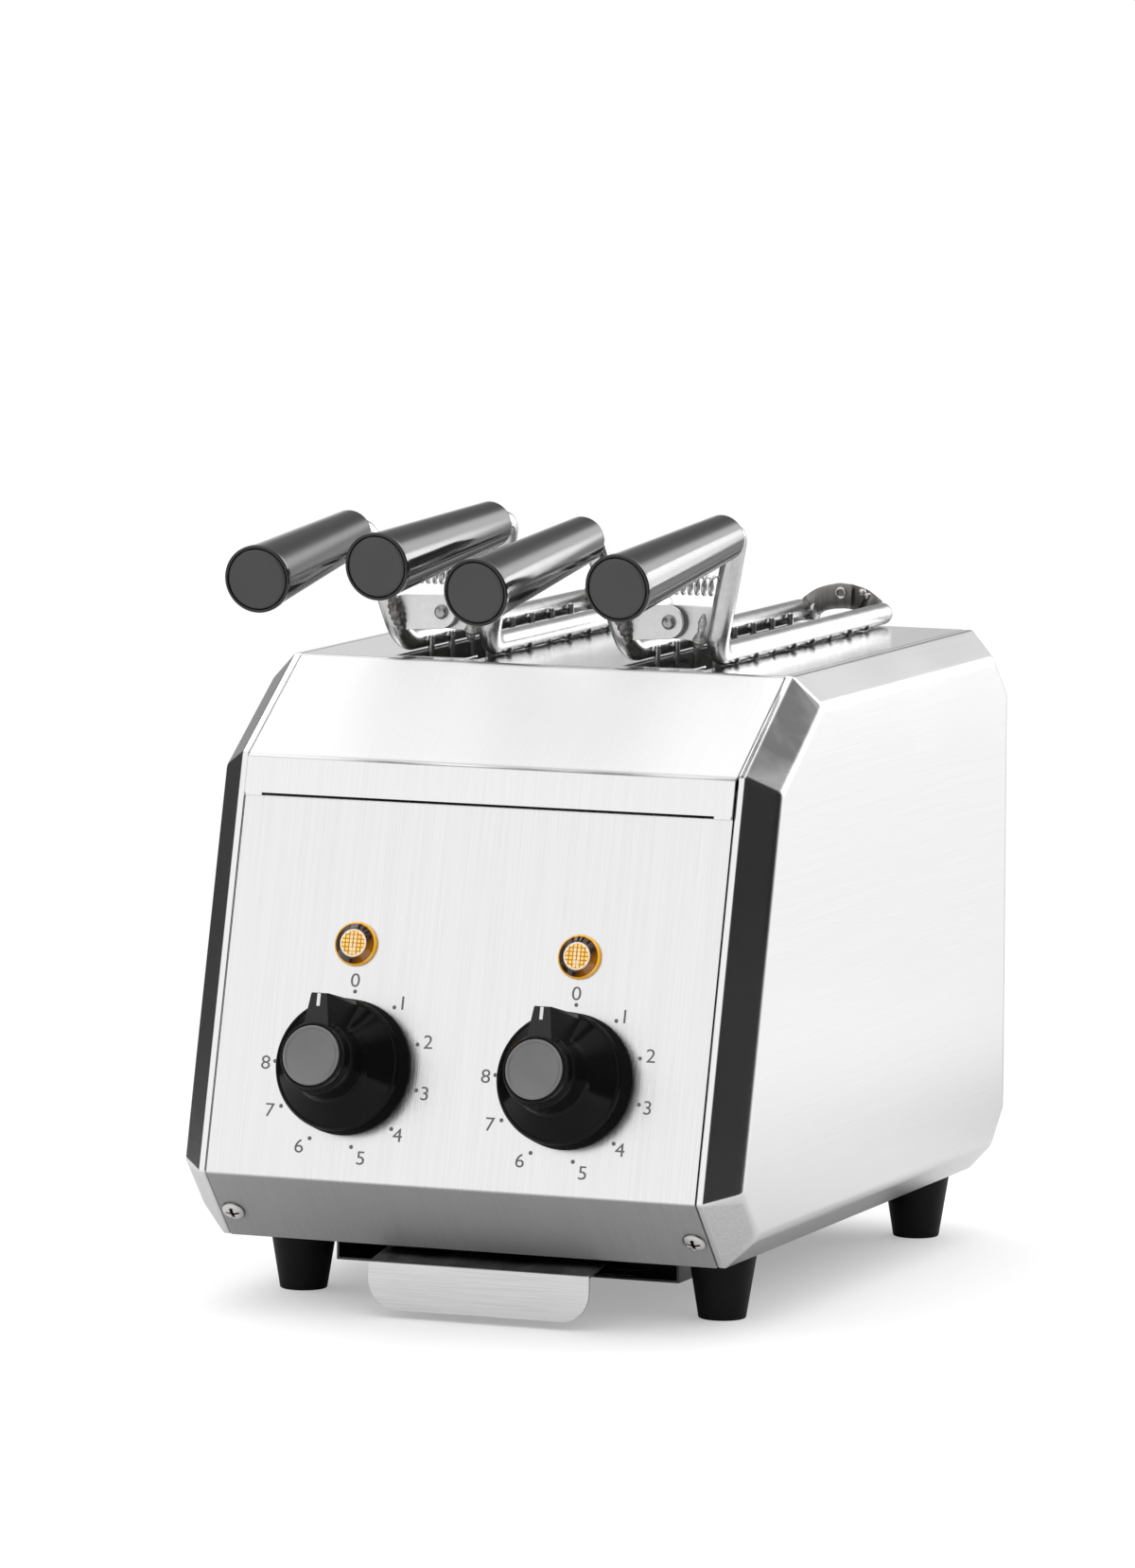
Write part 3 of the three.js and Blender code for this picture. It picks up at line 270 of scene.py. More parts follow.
class Surface(Nodes):
    """A material with one Principled shader. Values that vary go in by feed, and the rest are set on
    its sockets."""

    made = {}

    def __init__(self, name, **constants):
        self.material = bpy.data.materials.new(name)
        self.material.use_nodes = True
        super().__init__(self.material.node_tree)
        self.shader = self.tree.nodes.new("ShaderNodeBsdfPrincipled")
        output = self.tree.nodes.new("ShaderNodeOutputMaterial")
        self.tree.links.new(self.shader.outputs[0], output.inputs["Surface"])
        for key, value in constants.items():
            socket = self.shader.inputs[key.replace("_", " ")]
            socket.default_value = tuple(value) + (1,) if key in ("Base_Color", "Emission_Color") else value
        Surface.made[name] = self.material

    def feed(self, **links):
        for key, value in links.items():
            self.tree.links.new(value.socket, self.shader.inputs[key.replace("_", " ")])
        return self.material

    def bump(self, height, distance, strength=1.0):
        return self.node("ShaderNodeBump", {}, {"Height": height, "Distance": distance, "Strength": strength})


def material(name):
    return Surface.made[name]


def brushed_steel(name, tint, roughness, across, streak=0.1, spread=0.1):
    """Sheet steel with a plain grain. streak darkens the grain's low lines and spread varies its gloss."""
    steel = Surface(name, Metallic=1.0)
    fine = steel.hairlines(across)
    broad = steel.noise(steel.stretched(*times(across, 0.12)), 1.0, 2.0)
    hands = steel.noise(steel.place(), 18.0, 3.0)
    grain = fine.rise(0.3, 0.7)
    return steel.feed(
        Base_Color=steel.shades(grain * 0.7 + broad * 0.3, tint, 1 - streak),
        Roughness=roughness + (fine - 0.5) * spread + (hands - 0.5) * 0.06,
        Normal=steel.bump(fine, 0.00002, 0.5),
    )


def front_steel(name, tint, roughness, across):
    """The front panel's hairlines, which spread light sideways. The facet under the crease is duller and
    partly matt, and its colour is painted darker as painted shade from under the body's front."""
    steel = Surface(name, Metallic=1.0)
    fine = steel.hairlines(across)
    broad = steel.noise(steel.stretched(*times(across, 0.25)), 1.0, 2.0)
    height = steel.parts(steel.place())[2]
    facet = height.rise(0.0482, 0.0472)
    lines = fine.rise(0.3, 0.7) * 0.6 + broad.rise(0.3, 0.7) * 0.4
    plain = steel.shades(lines, tint, 0.93)
    # Painted shade: the facet's colour is much darker than the panel's.
    dull = steel.shades(lines, tint, 0.41, 0.46)
    return steel.feed(
        Metallic=1 - facet * 0.7,
        Base_Color=steel.mix(facet, plain, dull),
        Roughness=(roughness + (fine - 0.5) * 0.1) * (1 - facet) + facet * 0.62,
        Normal=steel.bump(fine, 0.00006, 0.7),
    )


def cover_steel(name, tint, across):
    """The top cover: hairlines on its flap, a blasted slope that is partly matt, and a smoother deck."""
    steel = Surface(name, Metallic=1.0)
    fine = steel.hairlines(across)
    cloud = steel.noise(steel.place(), 30.0, 3.0)
    x, y, height = steel.parts(steel.place())
    slope = height.rise(0.1884, 0.1894) * height.rise(0.2194, 0.2184)
    deck = height.rise(0.2180, 0.2192)
    # Painted reflection and shade: the bends and the deck's front edge are painted dark for the dark side
    # of the studio, and the deck's middle is painted darker for its dim back.
    crease = height.rise(0.1878, 0.1884) * height.rise(0.1896, 0.1889) * 0.3
    edge = y.rise(-0.0567, -0.0560) * y.rise(-0.0545, -0.0550) * 0.5
    between = deck * x.size().rise(0.032, 0.022) * 0.3
    lines = fine.rise(0.3, 0.7)
    plain = steel.shades(lines * (1 - deck * 0.6), tint, 0.94)
    flat = steel.mix(deck, plain, times(tint, 0.865))
    blasted = steel.mix(lines, grey(0.96), grey(1.0))
    return steel.feed(
        Metallic=1 - slope * 0.75,
        Base_Color=steel.mix(crease + edge + between, steel.mix(slope, flat, blasted), grey(0.1)),
        Roughness=0.3 + slope * 0.3 - deck * 0.15 + (fine - 0.5) * 0.06 + (cloud - 0.5) * 0.03,
        Normal=steel.bump(fine, 0.00004, 0.5),
    )


def side_steel(name, tint, roughness, across):
    """The side panels. Their sloping bands are painted darker than their flat faces, and their painted shade
    and reflection change along the outline: open grain behind, a darker stretch low in front, and painted
    reflections, blotchy on the right panel, and shade along the top."""
    steel = Surface(name, Metallic=1.0)
    fine = steel.hairlines(across)
    hands = steel.noise(steel.place(), 18.0, 3.0)
    reflection_blotches = steel.noise(steel.place(), 75.0, 2.0)
    side, y, height = steel.parts(steel.place())
    x = side.size()
    band = x.rise(0.10277, 0.1016) * x.rise(0.0922, 0.0930)
    # Painted shade: a dark line along the bends of the upper bands.
    bend = x.rise(0.1012, 0.1018) * x.rise(0.10277, 0.1025) * height.rise(0.12, 0.14)
    upper = height.rise(0.188, 0.194)
    front = height.rise(0.0480, 0.0470) * y.rise(-0.110, -0.116)
    lines = fine.rise(0.3, 0.7)
    plain = steel.shades(lines, tint, 0.97)
    open_grain = steel.shades(lines, tint, 0.9, 1.02)
    # Painted shade: the bands low in front are darker.
    facing = steel.shades(lines, tint, 0.72, 0.86)
    # Painted reflection and shade along the top: the sloping band is darker on the left panel, and darker
    # still and blotchy on the right one.
    right_slope_painted_reflection = steel.shades(reflection_blotches.rise(0.4, 0.65), tint, 0.47, 0.64)
    slope = steel.mix(side.rise(-0.01, 0.01), times(tint, 0.86), right_slope_painted_reflection)
    along_top = steel.mix(y.rise(-0.0556, -0.0550), slope, times(tint, 0.9))
    bands = steel.mix(upper, steel.mix(front, open_grain, facing), along_top)
    return steel.feed(
        Base_Color=steel.mix(bend * 0.2, steel.mix(band, plain, bands), grey(0.1)),
        Roughness=roughness + (fine - 0.5) * 0.04 + (hands - 0.5) * 0.05,
        Normal=steel.bump(fine, 0.00002, 0.5),
    )


def tray_steel(name, tint, roughness, across):
    """The crumb tray: bright on its hanging tab, and painted dark with mottled painted shade on its flat
    sheet.
    """
    steel = Surface(name, Metallic=1.0)
    fine = steel.hairlines(across)
    shade_mottle = steel.noise(steel.place(), 60.0, 4.0, 0.6)
    sheet = steel.parts(steel.place())[1].rise(-0.1275, -0.1270)
    bright = steel.shades(fine.rise(0.3, 0.7), tint, 0.84)
    # Painted shade: the sheet inside the channel is dark, mottled by noise.
    dark = steel.mix(shade_mottle.rise(0.35, 0.7), grey(0.07), grey(0.3))
    return steel.feed(
        Base_Color=steel.mix(sheet, bright, dark),
        Roughness=roughness - sheet * 0.2 + (fine - 0.5) * 0.1,
        Normal=steel.bump(fine, 0.00003, 0.5),
    )


def cross_screw(name, tint):
    """A screw head, whose UV map gives the depth of its cross and its radius. Painted shade darkens both the
    cross and the rim."""
    screw = Surface(name, Metallic=1.0)
    cross, radius = screw.parts(screw.node("ShaderNodeUVMap", {"uv_map": "face"}))[:2]
    marks = screw.noise(screw.place(), 500.0, 3.0)
    # Painted shade in the cross's recess and round the rim.
    screw_painted_shade = (cross.rise(0.1, 0.7) + radius.rise(0.88, 0.98) * 0.7).least(1.0)
    return screw.feed(
        Base_Color=screw.mix(screw_painted_shade, screw.shades(marks, tint, 0.9), (0.04, 0.038, 0.035)),
        Roughness=0.2 + marks * 0.1,
        Normal=screw.bump(marks, 0.00002, 0.3),
    )


def polished_steel(name, tint, roughness, worn=0.05):
    """Drawn tube or wire, with faint marks from bending and handling."""
    steel = Surface(name, Metallic=1.0)
    marks = steel.noise(steel.place(), 240.0, 4.0, 0.6)
    wide = steel.noise(steel.place(), 55.0, 2.0)
    return steel.feed(
        Base_Color=steel.shades(marks.rise(0.3, 0.75), tint, 0.86),
        Roughness=roughness + (wide - 0.5) * worn,
        Normal=steel.bump(marks, 0.00003, 0.35),
    )


def moulded(name, tint, roughness, grain=0.35, shine=0.5):
    """Moulded plastic or rubber with a fine skin."""
    plastic = Surface(name, Specular_IOR_Level=shine)
    skin = plastic.noise(plastic.place(), 1600.0, 2.0)
    cloud = plastic.noise(plastic.place(), 70.0, 3.0)
    pale = tuple(min(1, c * 1.35 + 0.002) for c in tint)
    return plastic.feed(
        Base_Color=plastic.mix(cloud, tint, pale),
        Roughness=roughness + (cloud - 0.5) * 0.08 + (skin - 0.5) * 0.05,
        Normal=plastic.bump(skin, 0.00002, grain),
    )


def weld_steel(name, tint, depth=0.3):
    """Heat-darkened lumps of weld, with fibrous ripples."""
    weld = Surface(name, Metallic=1.0)
    lumps = weld.noise(weld.stretched(900, 900, 420), 1.0, 4.0, 0.65)
    return weld.feed(
        Base_Color=weld.shades(lumps.rise(0.35, 0.65), tint, depth),
        Roughness=0.3 + lumps * 0.3,
        Normal=weld.bump(lumps, 0.0004, 0.8),
    )


def lamp_amber(name, tint):
    """A lit amber lens. Its UV map gives the place on its face in units of its radius."""
    lens = Surface(name, Roughness=0.1, Coat_Weight=0.6, Coat_Roughness=0.03, Emission_Strength=1.0)
    u, v = lens.parts(lens.node("ShaderNodeUVMap", {"uv_map": "face"}))[:2]
    radius = (u * u + v * v) ** 0.5
    lattice = (u * 17.0).sine().size().least((v * 17.0).sine().size()).rise(0.2, 0.6)
    glass = lens.noise(lens.place(), 1500.0, 2.0)
    face = radius.rise(0.60, 0.56)
    ring = radius.rise(0.53, 0.57) * radius.rise(0.65, 0.61)
    rim = radius.rise(0.86, 0.90)
    groove = radius.rise(0.86, 0.88) * radius.rise(0.92, 0.90)
    # The glow lamp's two electrodes, joined at their foot.
    bars = (u.size() - 0.1).size().rise(0.07, 0.04) * v.rise(-0.3, -0.2) * v.rise(0.42, 0.36)
    foot = (u * u + (v + 0.33) * (v + 0.33)).rise(0.03, 0.014)
    cells = lattice * (0.55 + glass * 0.6)
    bright = lens.mix(cells, (0.34, 0.1, 0.002), (1.0, 0.66, 0.1))
    bright = lens.mix((bars + foot).least(1.0) * 0.45, bright, (0.8, 0.68, 0.6))
    body = lens.mix((u * 0.8 - v * 0.6).rise(0.35, 0.8), (0.03, 0.014, 0.01), (0.34, 0.12, 0.006))
    body = lens.mix(glass.rise(0.5, 0.75) * radius.rise(0.84, 0.62) * 0.5, body, (0.4, 0.2, 0.02))
    shown = lens.mix(rim, lens.mix(face, body, bright), lens.mix(groove, tint, (0.1, 0.03, 0.003)))
    shown = lens.mix(ring * 0.8, shown, (0.86, 0.74, 0.66))
    glow = lens.mix((face * 0.3 + ring * 0.15 + rim * 0.08).least(1.0), grey(0.0), shown)
    return lens.feed(Base_Color=shown, Emission_Color=glow, Normal=lens.bump(cells * face, 0.0003, 0.5))


# ------------------------------------------------------------------ surfaces

def at(points):
    """Millimetres from the middle of the front crease and the floor, in metres of the frame."""
    return np.asarray(points, float) * MM + np.array([0, CREASE_DEPTH, 0])


def net(points, wrap_u=False, wrap_v=False):
    """A grid of points with its quads: wrap_u closes the first direction on itself and wrap_v the second."""
    points = np.asarray(points, float)
    nu, nv = points.shape[:2]
    u = np.arange(nu if wrap_u else nu - 1)
    v = np.arange(nv if wrap_v else nv - 1)
    a, b = np.meshgrid(u, v, indexing="ij")
    a2, b2 = (a + 1) % nu, (b + 1) % nv
    quads = np.stack([a * nv + b, a2 * nv + b, a2 * nv + b2, a * nv + b2], -1).reshape(-1, 4)
    return points.reshape(-1, 3), quads


def turned(profile, sides=72):
    """Radius and height along the profile, carried once round the height axis."""
    profile = np.asarray(profile, float)
    angle = np.linspace(0, 2 * pi, sides, endpoint=False)
    r, h = profile[:, 0], profile[:, 1]
    points = np.stack([np.outer(np.cos(angle), r), np.outer(np.sin(angle), r), np.tile(h, (sides, 1))], -1)
    return net(points, wrap_u=True)


def pipe(profile, sides=72):
    """Radius and height round a closed profile, carried once round the height axis."""
    points, _ = turned(profile, sides)
    return net(points.reshape(sides, len(profile), 3), wrap_u=True, wrap_v=True)


# A straight longer than LONG gets a point at GUARD from each end.
LONG = 1.2
GUARD = 0.2


def rounded(profile, radius, steps=5):
    """The same line with an arc of up to that radius in place of each inner corner. radius may be a list,
    with one entry a corner. Long straights get a point close to each end, so that they shade flat."""
    profile = [np.asarray(p, float) for p in profile]
    radii = radius if np.ndim(radius) else [radius] * (len(profile) - 2)
    line = [profile[0][None]]
    for before, corner, after, r in zip(profile, profile[1:], profile[2:], radii):
        back, on = before - corner, after - corner
        back_size, on_size = np.linalg.norm(back), np.linalg.norm(on)
        back, on = back / back_size, on / on_size
        half = acos(float(np.clip(back @ on, -1, 1))) / 2
        if r <= 0 or half > pi / 2 - 0.01:
            line.append(corner[None])
            continue
        pull = min(r / tan(half), 0.49 * min(back_size, on_size))
        r = pull * tan(half)
        middle = corner + (back + on) / np.linalg.norm(back + on) * hypot(pull, r)
        start, end = corner + back * pull - middle, corner + on * pull - middle
        sweep_angle = pi - 2 * half
        t = np.linspace(0, 1, steps + 1)[:, None]
        arc = (np.sin((1 - t) * sweep_angle) * start + np.sin(t * sweep_angle) * end) / sin(sweep_angle)
        line.append(middle + arc)
    line.append(profile[-1][None])
    line = np.concatenate(line)
    reach = np.linalg.norm(np.diff(line, axis=0), axis=1)
    guarded = [line[:1]]
    for start, end, size in zip(line, line[1:], reach):
        if size > LONG:
            guarded.append(start + (end - start) * np.array([[GUARD], [size - GUARD]]) / size)
        guarded.append(end[None])
    return np.concatenate(guarded)


def swept(path, radius, sides=24, across=(1, 0, 1), ends=0.0, tall=None):
    """A circle carried along a path. Each ring stands square to the path, and its first point lies square
    to across too. ends rounds both tips over that share of the radius. tall, where given, is the ring's
    other half width."""
    path = np.asarray(path, float)
    step = np.gradient(path, axis=0)
    ahead = step / np.linalg.norm(step, axis=1, keepdims=True)
    side = np.cross(ahead, np.asarray(across, float))
    side /= np.linalg.norm(side, axis=1, keepdims=True)
    other = np.cross(ahead, side)
    radius = np.broadcast_to(np.asarray(radius, float), len(path))
    tall = radius if tall is None else np.broadcast_to(np.asarray(tall, float), len(path))
    angle = np.linspace(0, 2 * pi, sides, endpoint=False)
    wide = side[:, None] * np.cos(angle)[:, None] * radius[:, None, None]
    ring = wide + other[:, None] * np.sin(angle)[:, None] * tall[:, None, None]
    body = path[:, None] + ring
    cap = np.linspace(0, pi / 2, 5)[:-1]
    first = [path[0] - ahead[0] * tall[0] * ends * cos(c) + ring[0] * sin(c) for c in cap]
    last = [path[-1] + ahead[-1] * tall[-1] * ends * cos(c) + ring[-1] * sin(c) for c in cap[::-1]]
    return net(np.concatenate([first, body, last]), wrap_v=True)


def slab(outline, low, high, bevel, steps=3):
    """A convex outline in a plane as (a, b), thickened from low to high. Each ring of its rounded edges is
    drawn in by the bevel times one minus the sine of an angle, and stands off its face by the bevel times
    one minus the cosine."""
    outline = np.asarray(outline, float)
    middle = outline.mean(axis=0)
    out = outline - middle
    reach = np.linalg.norm(out, axis=1, keepdims=True)
    edge = [(bevel * (1 - sin(c)), bevel * (1 - cos(c))) for c in np.linspace(0, pi / 2, steps + 1)]
    hub = np.zeros_like(out)
    flat = out * (1 - np.minimum(bevel + 0.2, reach * 0.5) / reach)
    rings = [hub, flat, *(out * (1 - inward / reach) for inward, _ in edge + edge[::-1]), flat, hub]
    heights = [low, low, *(low + off for _, off in edge), *(high - off for _, off in edge[::-1]), high, high]
    rings = [np.column_stack([ring + middle, np.full(len(out), h)]) for ring, h in zip(rings, heights)]
    return net(np.stack(rings), wrap_v=True)


def set_on(part, origin, normal):
    """Moves a part from its own axes to a place, with its height along normal and its first axis as near
    to the right as the normal lets it."""
    points, quads = part
    normal = np.asarray(normal, float) / np.linalg.norm(normal)
    first = RIGHT - np.dot(RIGHT, normal) * normal
    first /= np.linalg.norm(first)
    basis = np.stack([first, np.cross(normal, first), normal])
    return points @ basis + np.asarray(origin, float), quads


def on_panel(part, x, up):
    """Sets a part on the front panel, facing out, at that way up along it from the crease."""
    return set_on(part, np.array([x, 0, CREASE]) + PANEL_UP * up, PANEL_OUT)


def close(mesh, upward=False):
    """Merges seams and poles and turns the faces outward, or an open sheet's upward. Returns which edges
    are rims."""
    work = bmesh.new()
    work.from_mesh(mesh)
    bmesh.ops.remove_doubles(work, verts=work.verts, dist=1e-7)
    bmesh.ops.dissolve_degenerate(work, edges=work.edges, dist=1e-8)
    bmesh.ops.recalc_face_normals(work, faces=work.faces)
    if upward and sum(face.normal.z for face in work.faces) < 0:
        bmesh.ops.reverse_faces(work, faces=work.faces)
    rims = np.array([edge.is_boundary for edge in work.edges])
    work.to_mesh(mesh)
    work.free()
    return rims


def piece(name, parts, body, finish, replaces=(), sharp=35.0, uv=None):
    """Makes one object from surfaces in millimetres, closes their seams and poles, and lets it ride on a
    body. Edges turned by more than sharp degrees are sharp, and so are the rims of open sheets."""
    points, faces, start = [], [], 0
    for part_points, part_faces in parts:
        points.append(part_points)
        faces.extend((np.asarray(face) + start).tolist() for face in part_faces)
        start += len(part_points)
    mesh = bpy.data.meshes.new(name)
    mesh.from_pydata(at(np.concatenate(points)).tolist(), [], faces)
    if uv is not None:
        layer = mesh.uv_layers.new(name="face")
        corners = np.empty(len(mesh.loops), dtype=np.int32)
        mesh.loops.foreach_get("vertex_index", corners)
        layer.data.foreach_set("uv", np.asarray(uv, float)[corners].ravel())
    rims = close(mesh)
    mesh.shade_smooth()
    mesh.set_sharp_from_angle(angle=radians(sharp))
    turned_edges = np.empty(len(mesh.edges), dtype=bool)
    mesh.edges.foreach_get("use_edge_sharp", turned_edges)
    mesh.edges.foreach_set("use_edge_sharp", turned_edges | rims)
    mesh.materials.append(material(finish))
    obj = bpy.data.objects.new(name, mesh)
    bpy.context.scene.collection.objects.link(obj)
    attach(obj, body)
    if replaces:
        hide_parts(*([replaces] if isinstance(replaces, str) else replaces))
    return obj


def thicken(obj):
    """Gives an open sheet its wall, inward from its outer face."""
    wall = obj.modifiers.new("wall", "SOLIDIFY")
    wall.thickness = SHEET * MM
    wall.offset = -1
    wall.use_even_offset = True


def dress(finish, *nodes):
    """Puts CAD nodes that stay into a finish."""
    for name in nodes:
        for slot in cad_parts[name].material_slots:
            slot.material = material(finish)


# ------------------------------------------------------------------ body pieces

def outline_rings(insets, offsets, corner, steps=4):
    """The body's outline carried through a profile: each ring is the outline moved inward by an inset and
    placed at its offset across the body. Every corner is an arc moved along its own mitre."""
    count = len(OUTLINE)
    rings = []
    before = OUTLINE[np.arange(count) - 1]
    after = OUTLINE[(np.arange(count) + 1) % count]
    back = before - OUTLINE
    back /= np.linalg.norm(back, axis=1, keepdims=True)
    on = after - OUTLINE
    on /= np.linalg.norm(on, axis=1, keepdims=True)
    inward = np.stack([on[:, 1], -on[:, 0]], -1)
    inward_back = np.stack([-back[:, 1], back[:, 0]], -1)
    mitre = inward + inward_back
    mitre /= np.sum(mitre * inward, axis=1, keepdims=True)
    # Shares of the way back and on along each corner's arc, with one guard point past each of its ends.
    t = np.linspace(0, 1, steps + 1)
    before_bend = np.concatenate([[1.3], (1 - t) ** 2, [0]])[None, :, None] * corner
    past_bend = np.concatenate([[0], t ** 2, [1.3]])[None, :, None] * corner
    bend = back[:, None] * before_bend + on[:, None] * past_bend
    for inset, offset in zip(insets, offsets):
        line = (OUTLINE[:, None] + mitre[:, None] * inset + bend).reshape(-1, 2)
        rings.append(np.column_stack([np.full(len(line), offset), line]))
    return np.stack(rings)


class TOASTER_OT_side_panels(bpy.types.Operator):
    """Presses the two side panels: a lip, a flat rim, a sloping band and a flat face"""
    bl_idname = "toaster.side_panels"
    bl_label = "Side panels"

    def execute(self, context):
        press = sizes(context, "toaster_body").press / MM
        profile = rounded([
            (7.0, HALF_WIDTH), (0.0, HALF_WIDTH), (0.0, HALF_WIDTH + 2.56),
            (10.15, HALF_WIDTH + 12.78), (15.0, HALF_WIDTH + 12.78),
        ], [0.7, press, 5.0], 6)
        rings = outline_rings(profile[:, 0], profile[:, 1], corner=0.9)
        for name, side in SIDES.items():
            points, quads = net(rings * (side, 1, 1), wrap_v=True)
            face = np.arange(rings.shape[1]) + (rings.shape[0] - 1) * rings.shape[1]
            panel = piece(f"side_panel_{name}_pressed", [(points, list(quads) + [face])], "base",
                          "side_steel", f"side_panel_{name}", sharp=50)
            thicken(panel)
        return {"FINISHED"}


def folded_sheet(line, x_breaks, gaps=()):
    """A (depth, height) line carried across the body, with the cells of the grid left out that lie in a gap.
    Each gap is (x from, x to, depth from, depth to) on the deck."""
    x = np.asarray(x_breaks, float)
    line = np.asarray(line, float)
    points = np.zeros((len(line), len(x), 3))
    points[..., 0] = x
    points[..., 1:] = line[:, None]
    points, quads = net(points)
    middle = points[quads].mean(axis=1)
    keep = np.ones(len(quads), bool)
    for x0, x1, y0, y1 in gaps:
        across = (middle[:, 0] > x0) & (middle[:, 0] < x1)
        along = (middle[:, 1] > y0) & (middle[:, 1] < y1)
        keep &= ~(across & along & (middle[:, 2] > DECK - 1))
    return points, quads[keep]


def towards(start, end, distance):
    """The point at that distance from start on the way to end."""
    return start + (end - start) / np.linalg.norm(end - start) * distance


class TOASTER_OT_front_panel(bpy.types.Operator):
    """Folds the front panel at its crease into the lower facet"""
    bl_idname = "toaster.front_panel"
    bl_label = "Front panel"

    def execute(self, context):
        bend = sizes(context, "toaster_body").bend / MM
        top = towards(OUTLINE[2], OUTLINE[1], 5)
        line = rounded([OUTLINE[0], OUTLINE[1], top], bend, 8)
        panel = piece("front_panel_folded", [folded_sheet(line, EDGE_BREAKS)], "base",
                      "front_steel", "front_panel", sharp=60)
        thicken(panel)
        return {"FINISHED"}


class TOASTER_OT_top_cover(bpy.types.Operator):
    """Folds the top cover, with its two slots, their turned-up lips and the flap over the front panel"""
    bl_idname = "toaster.top_cover"
    bl_label = "Top cover"

    def execute(self, context):
        bend = sizes(context, "toaster_body").bend / MM
        lift = SHEET + SEAM
        up = PANEL_UP[1:]
        slope = OUTLINE[3] - OUTLINE[2]
        slope_out = np.array([-slope[1], slope[0]]) / np.linalg.norm(slope)
        # Where the flap's plane, one sheet and a seam in front of the panel, meets the slope.
        start = OUTLINE[2] + PANEL_OUT[1:] * lift
        along = -(start - OUTLINE[2]) @ slope_out / (up @ slope_out)
        flap = start + up * along
        drop = (OUTLINE[5] - OUTLINE[4]) / np.linalg.norm(OUTLINE[5] - OUTLINE[4])
        rear = OUTLINE[5] + drop * lift / abs(drop[0])
        line = rounded([
            flap - up * FLAP, flap, OUTLINE[3], OUTLINE[4], rear, rear - np.array([-0.01, 12]),
        ], bend, 8)
        slots = [(middle - SLOT_HALF, middle + SLOT_HALF) for middle in SLOT_MIDDLES.values()]
        gaps = [(*slot, SLOT_FRONT, SLOT_REAR) for slot in slots]
        front = [p for p in line if p[0] < SLOT_FRONT]
        behind = [p for p in line if p[0] > SLOT_REAR]
        line = front + [(SLOT_FRONT, DECK), (SLOT_REAR, DECK)] + behind
        sheet = folded_sheet(line, sorted([*EDGE_BREAKS, *slots[0], *slots[1]]), gaps)
        cover = piece("top_cover_folded", [sheet], "base",
                      "cover_steel", "top_cover", sharp=60)
        thicken(cover)
        self.lips()
        self.fillers((flap - up * FLAP - (0, CREASE)) @ up, lift)
        return {"FINISHED"}

    def lips(self):
        """Each slot's front edge is turned up a little at its right corner."""
        lips = []
        for middle in SLOT_MIDDLES.values():
            across = middle + np.array([-15.4, -6, 6, 11, 13, 14.6, 15.4])
            rim = DECK + np.array([0.1, 0.15, 0.2, 0.3, 0.8, 1.3, 1.4])
            front = SLOT_FRONT - 0.9
            rings = []
            for x, h in zip(across, rim):
                corners = [(front, h - 0.6), (front, h), (SLOT_FRONT, h), (SLOT_FRONT, h - 0.6)]
                ring = rounded(corners, 0.15, 3)
                rings.append(np.column_stack([np.full(len(ring), x), ring]))
            points, quads = net(np.stack(rings), wrap_v=True)
            end = np.arange(len(rings[0]))
            lips.append((points, list(quads) + [end, end + (len(rings) - 1) * len(end)]))
        piece("slot_front_lips", lips, "base", "cover_steel", sharp=50)

    def fillers(self, low, lift):
        """Small fillers close the ends of the gap under the flap's lower edge, and a dark strip, a painted
        shadow, lies under the rest.
        """
        fillers = []
        for side in SIDES.values():
            inner, outer = side * 83.2, side * 89.5
            corners = [(inner, low - 0.9), (outer, low - 0.9), (outer, low + 0.2), (inner, low + 0.2)]
            fillers.append(on_panel(slab(corners, 0.05, lift - 0.05, 0.15), 0, 0))
        piece("flap_end_fillers", fillers, "base", "cover_steel", sharp=50)
        # Painted shadow: a black strip under the flap's lower edge.
        strip = slab([(-83, low - 0.65), (83, low - 0.65), (83, low + 0.2), (-83, low + 0.2)],
                     0.05, lift - 0.2, 0.1)
        piece("flap_shadow_strip", [on_panel(strip, 0, 0)], "base", "dial_matte", sharp=50)


def lump(points, radius, sides=14):
    """A weld bead along points, whose radius swells and shrinks along it."""
    return swept(points, radius, sides, across=(0, 1, 0.3), ends=0.9)


class TOASTER_OT_feet(bpy.types.Operator):
    """Turns the four rubber feet"""
    bl_idname = "toaster.feet"
    bl_label = "Feet"

    def execute(self, context):
        height = BASE - SEAM
        foot = turned(rounded([(0, 0), (8.2, 0), (11.9, height), (0, height)], [0.7, 0.5], 5))
        for row, depth in FOOT_DEPTHS.items():
            for name, side in SIDES.items():
                placed = set_on(foot, (side * FOOT_MIDDLE, depth, 0), (0, 0, 1))
                piece(f"rubber_foot_{row}_{name}", [placed], "base",
                      "foot_rubber", f"foot_{row}_{name}")
        return {"FINISHED"}


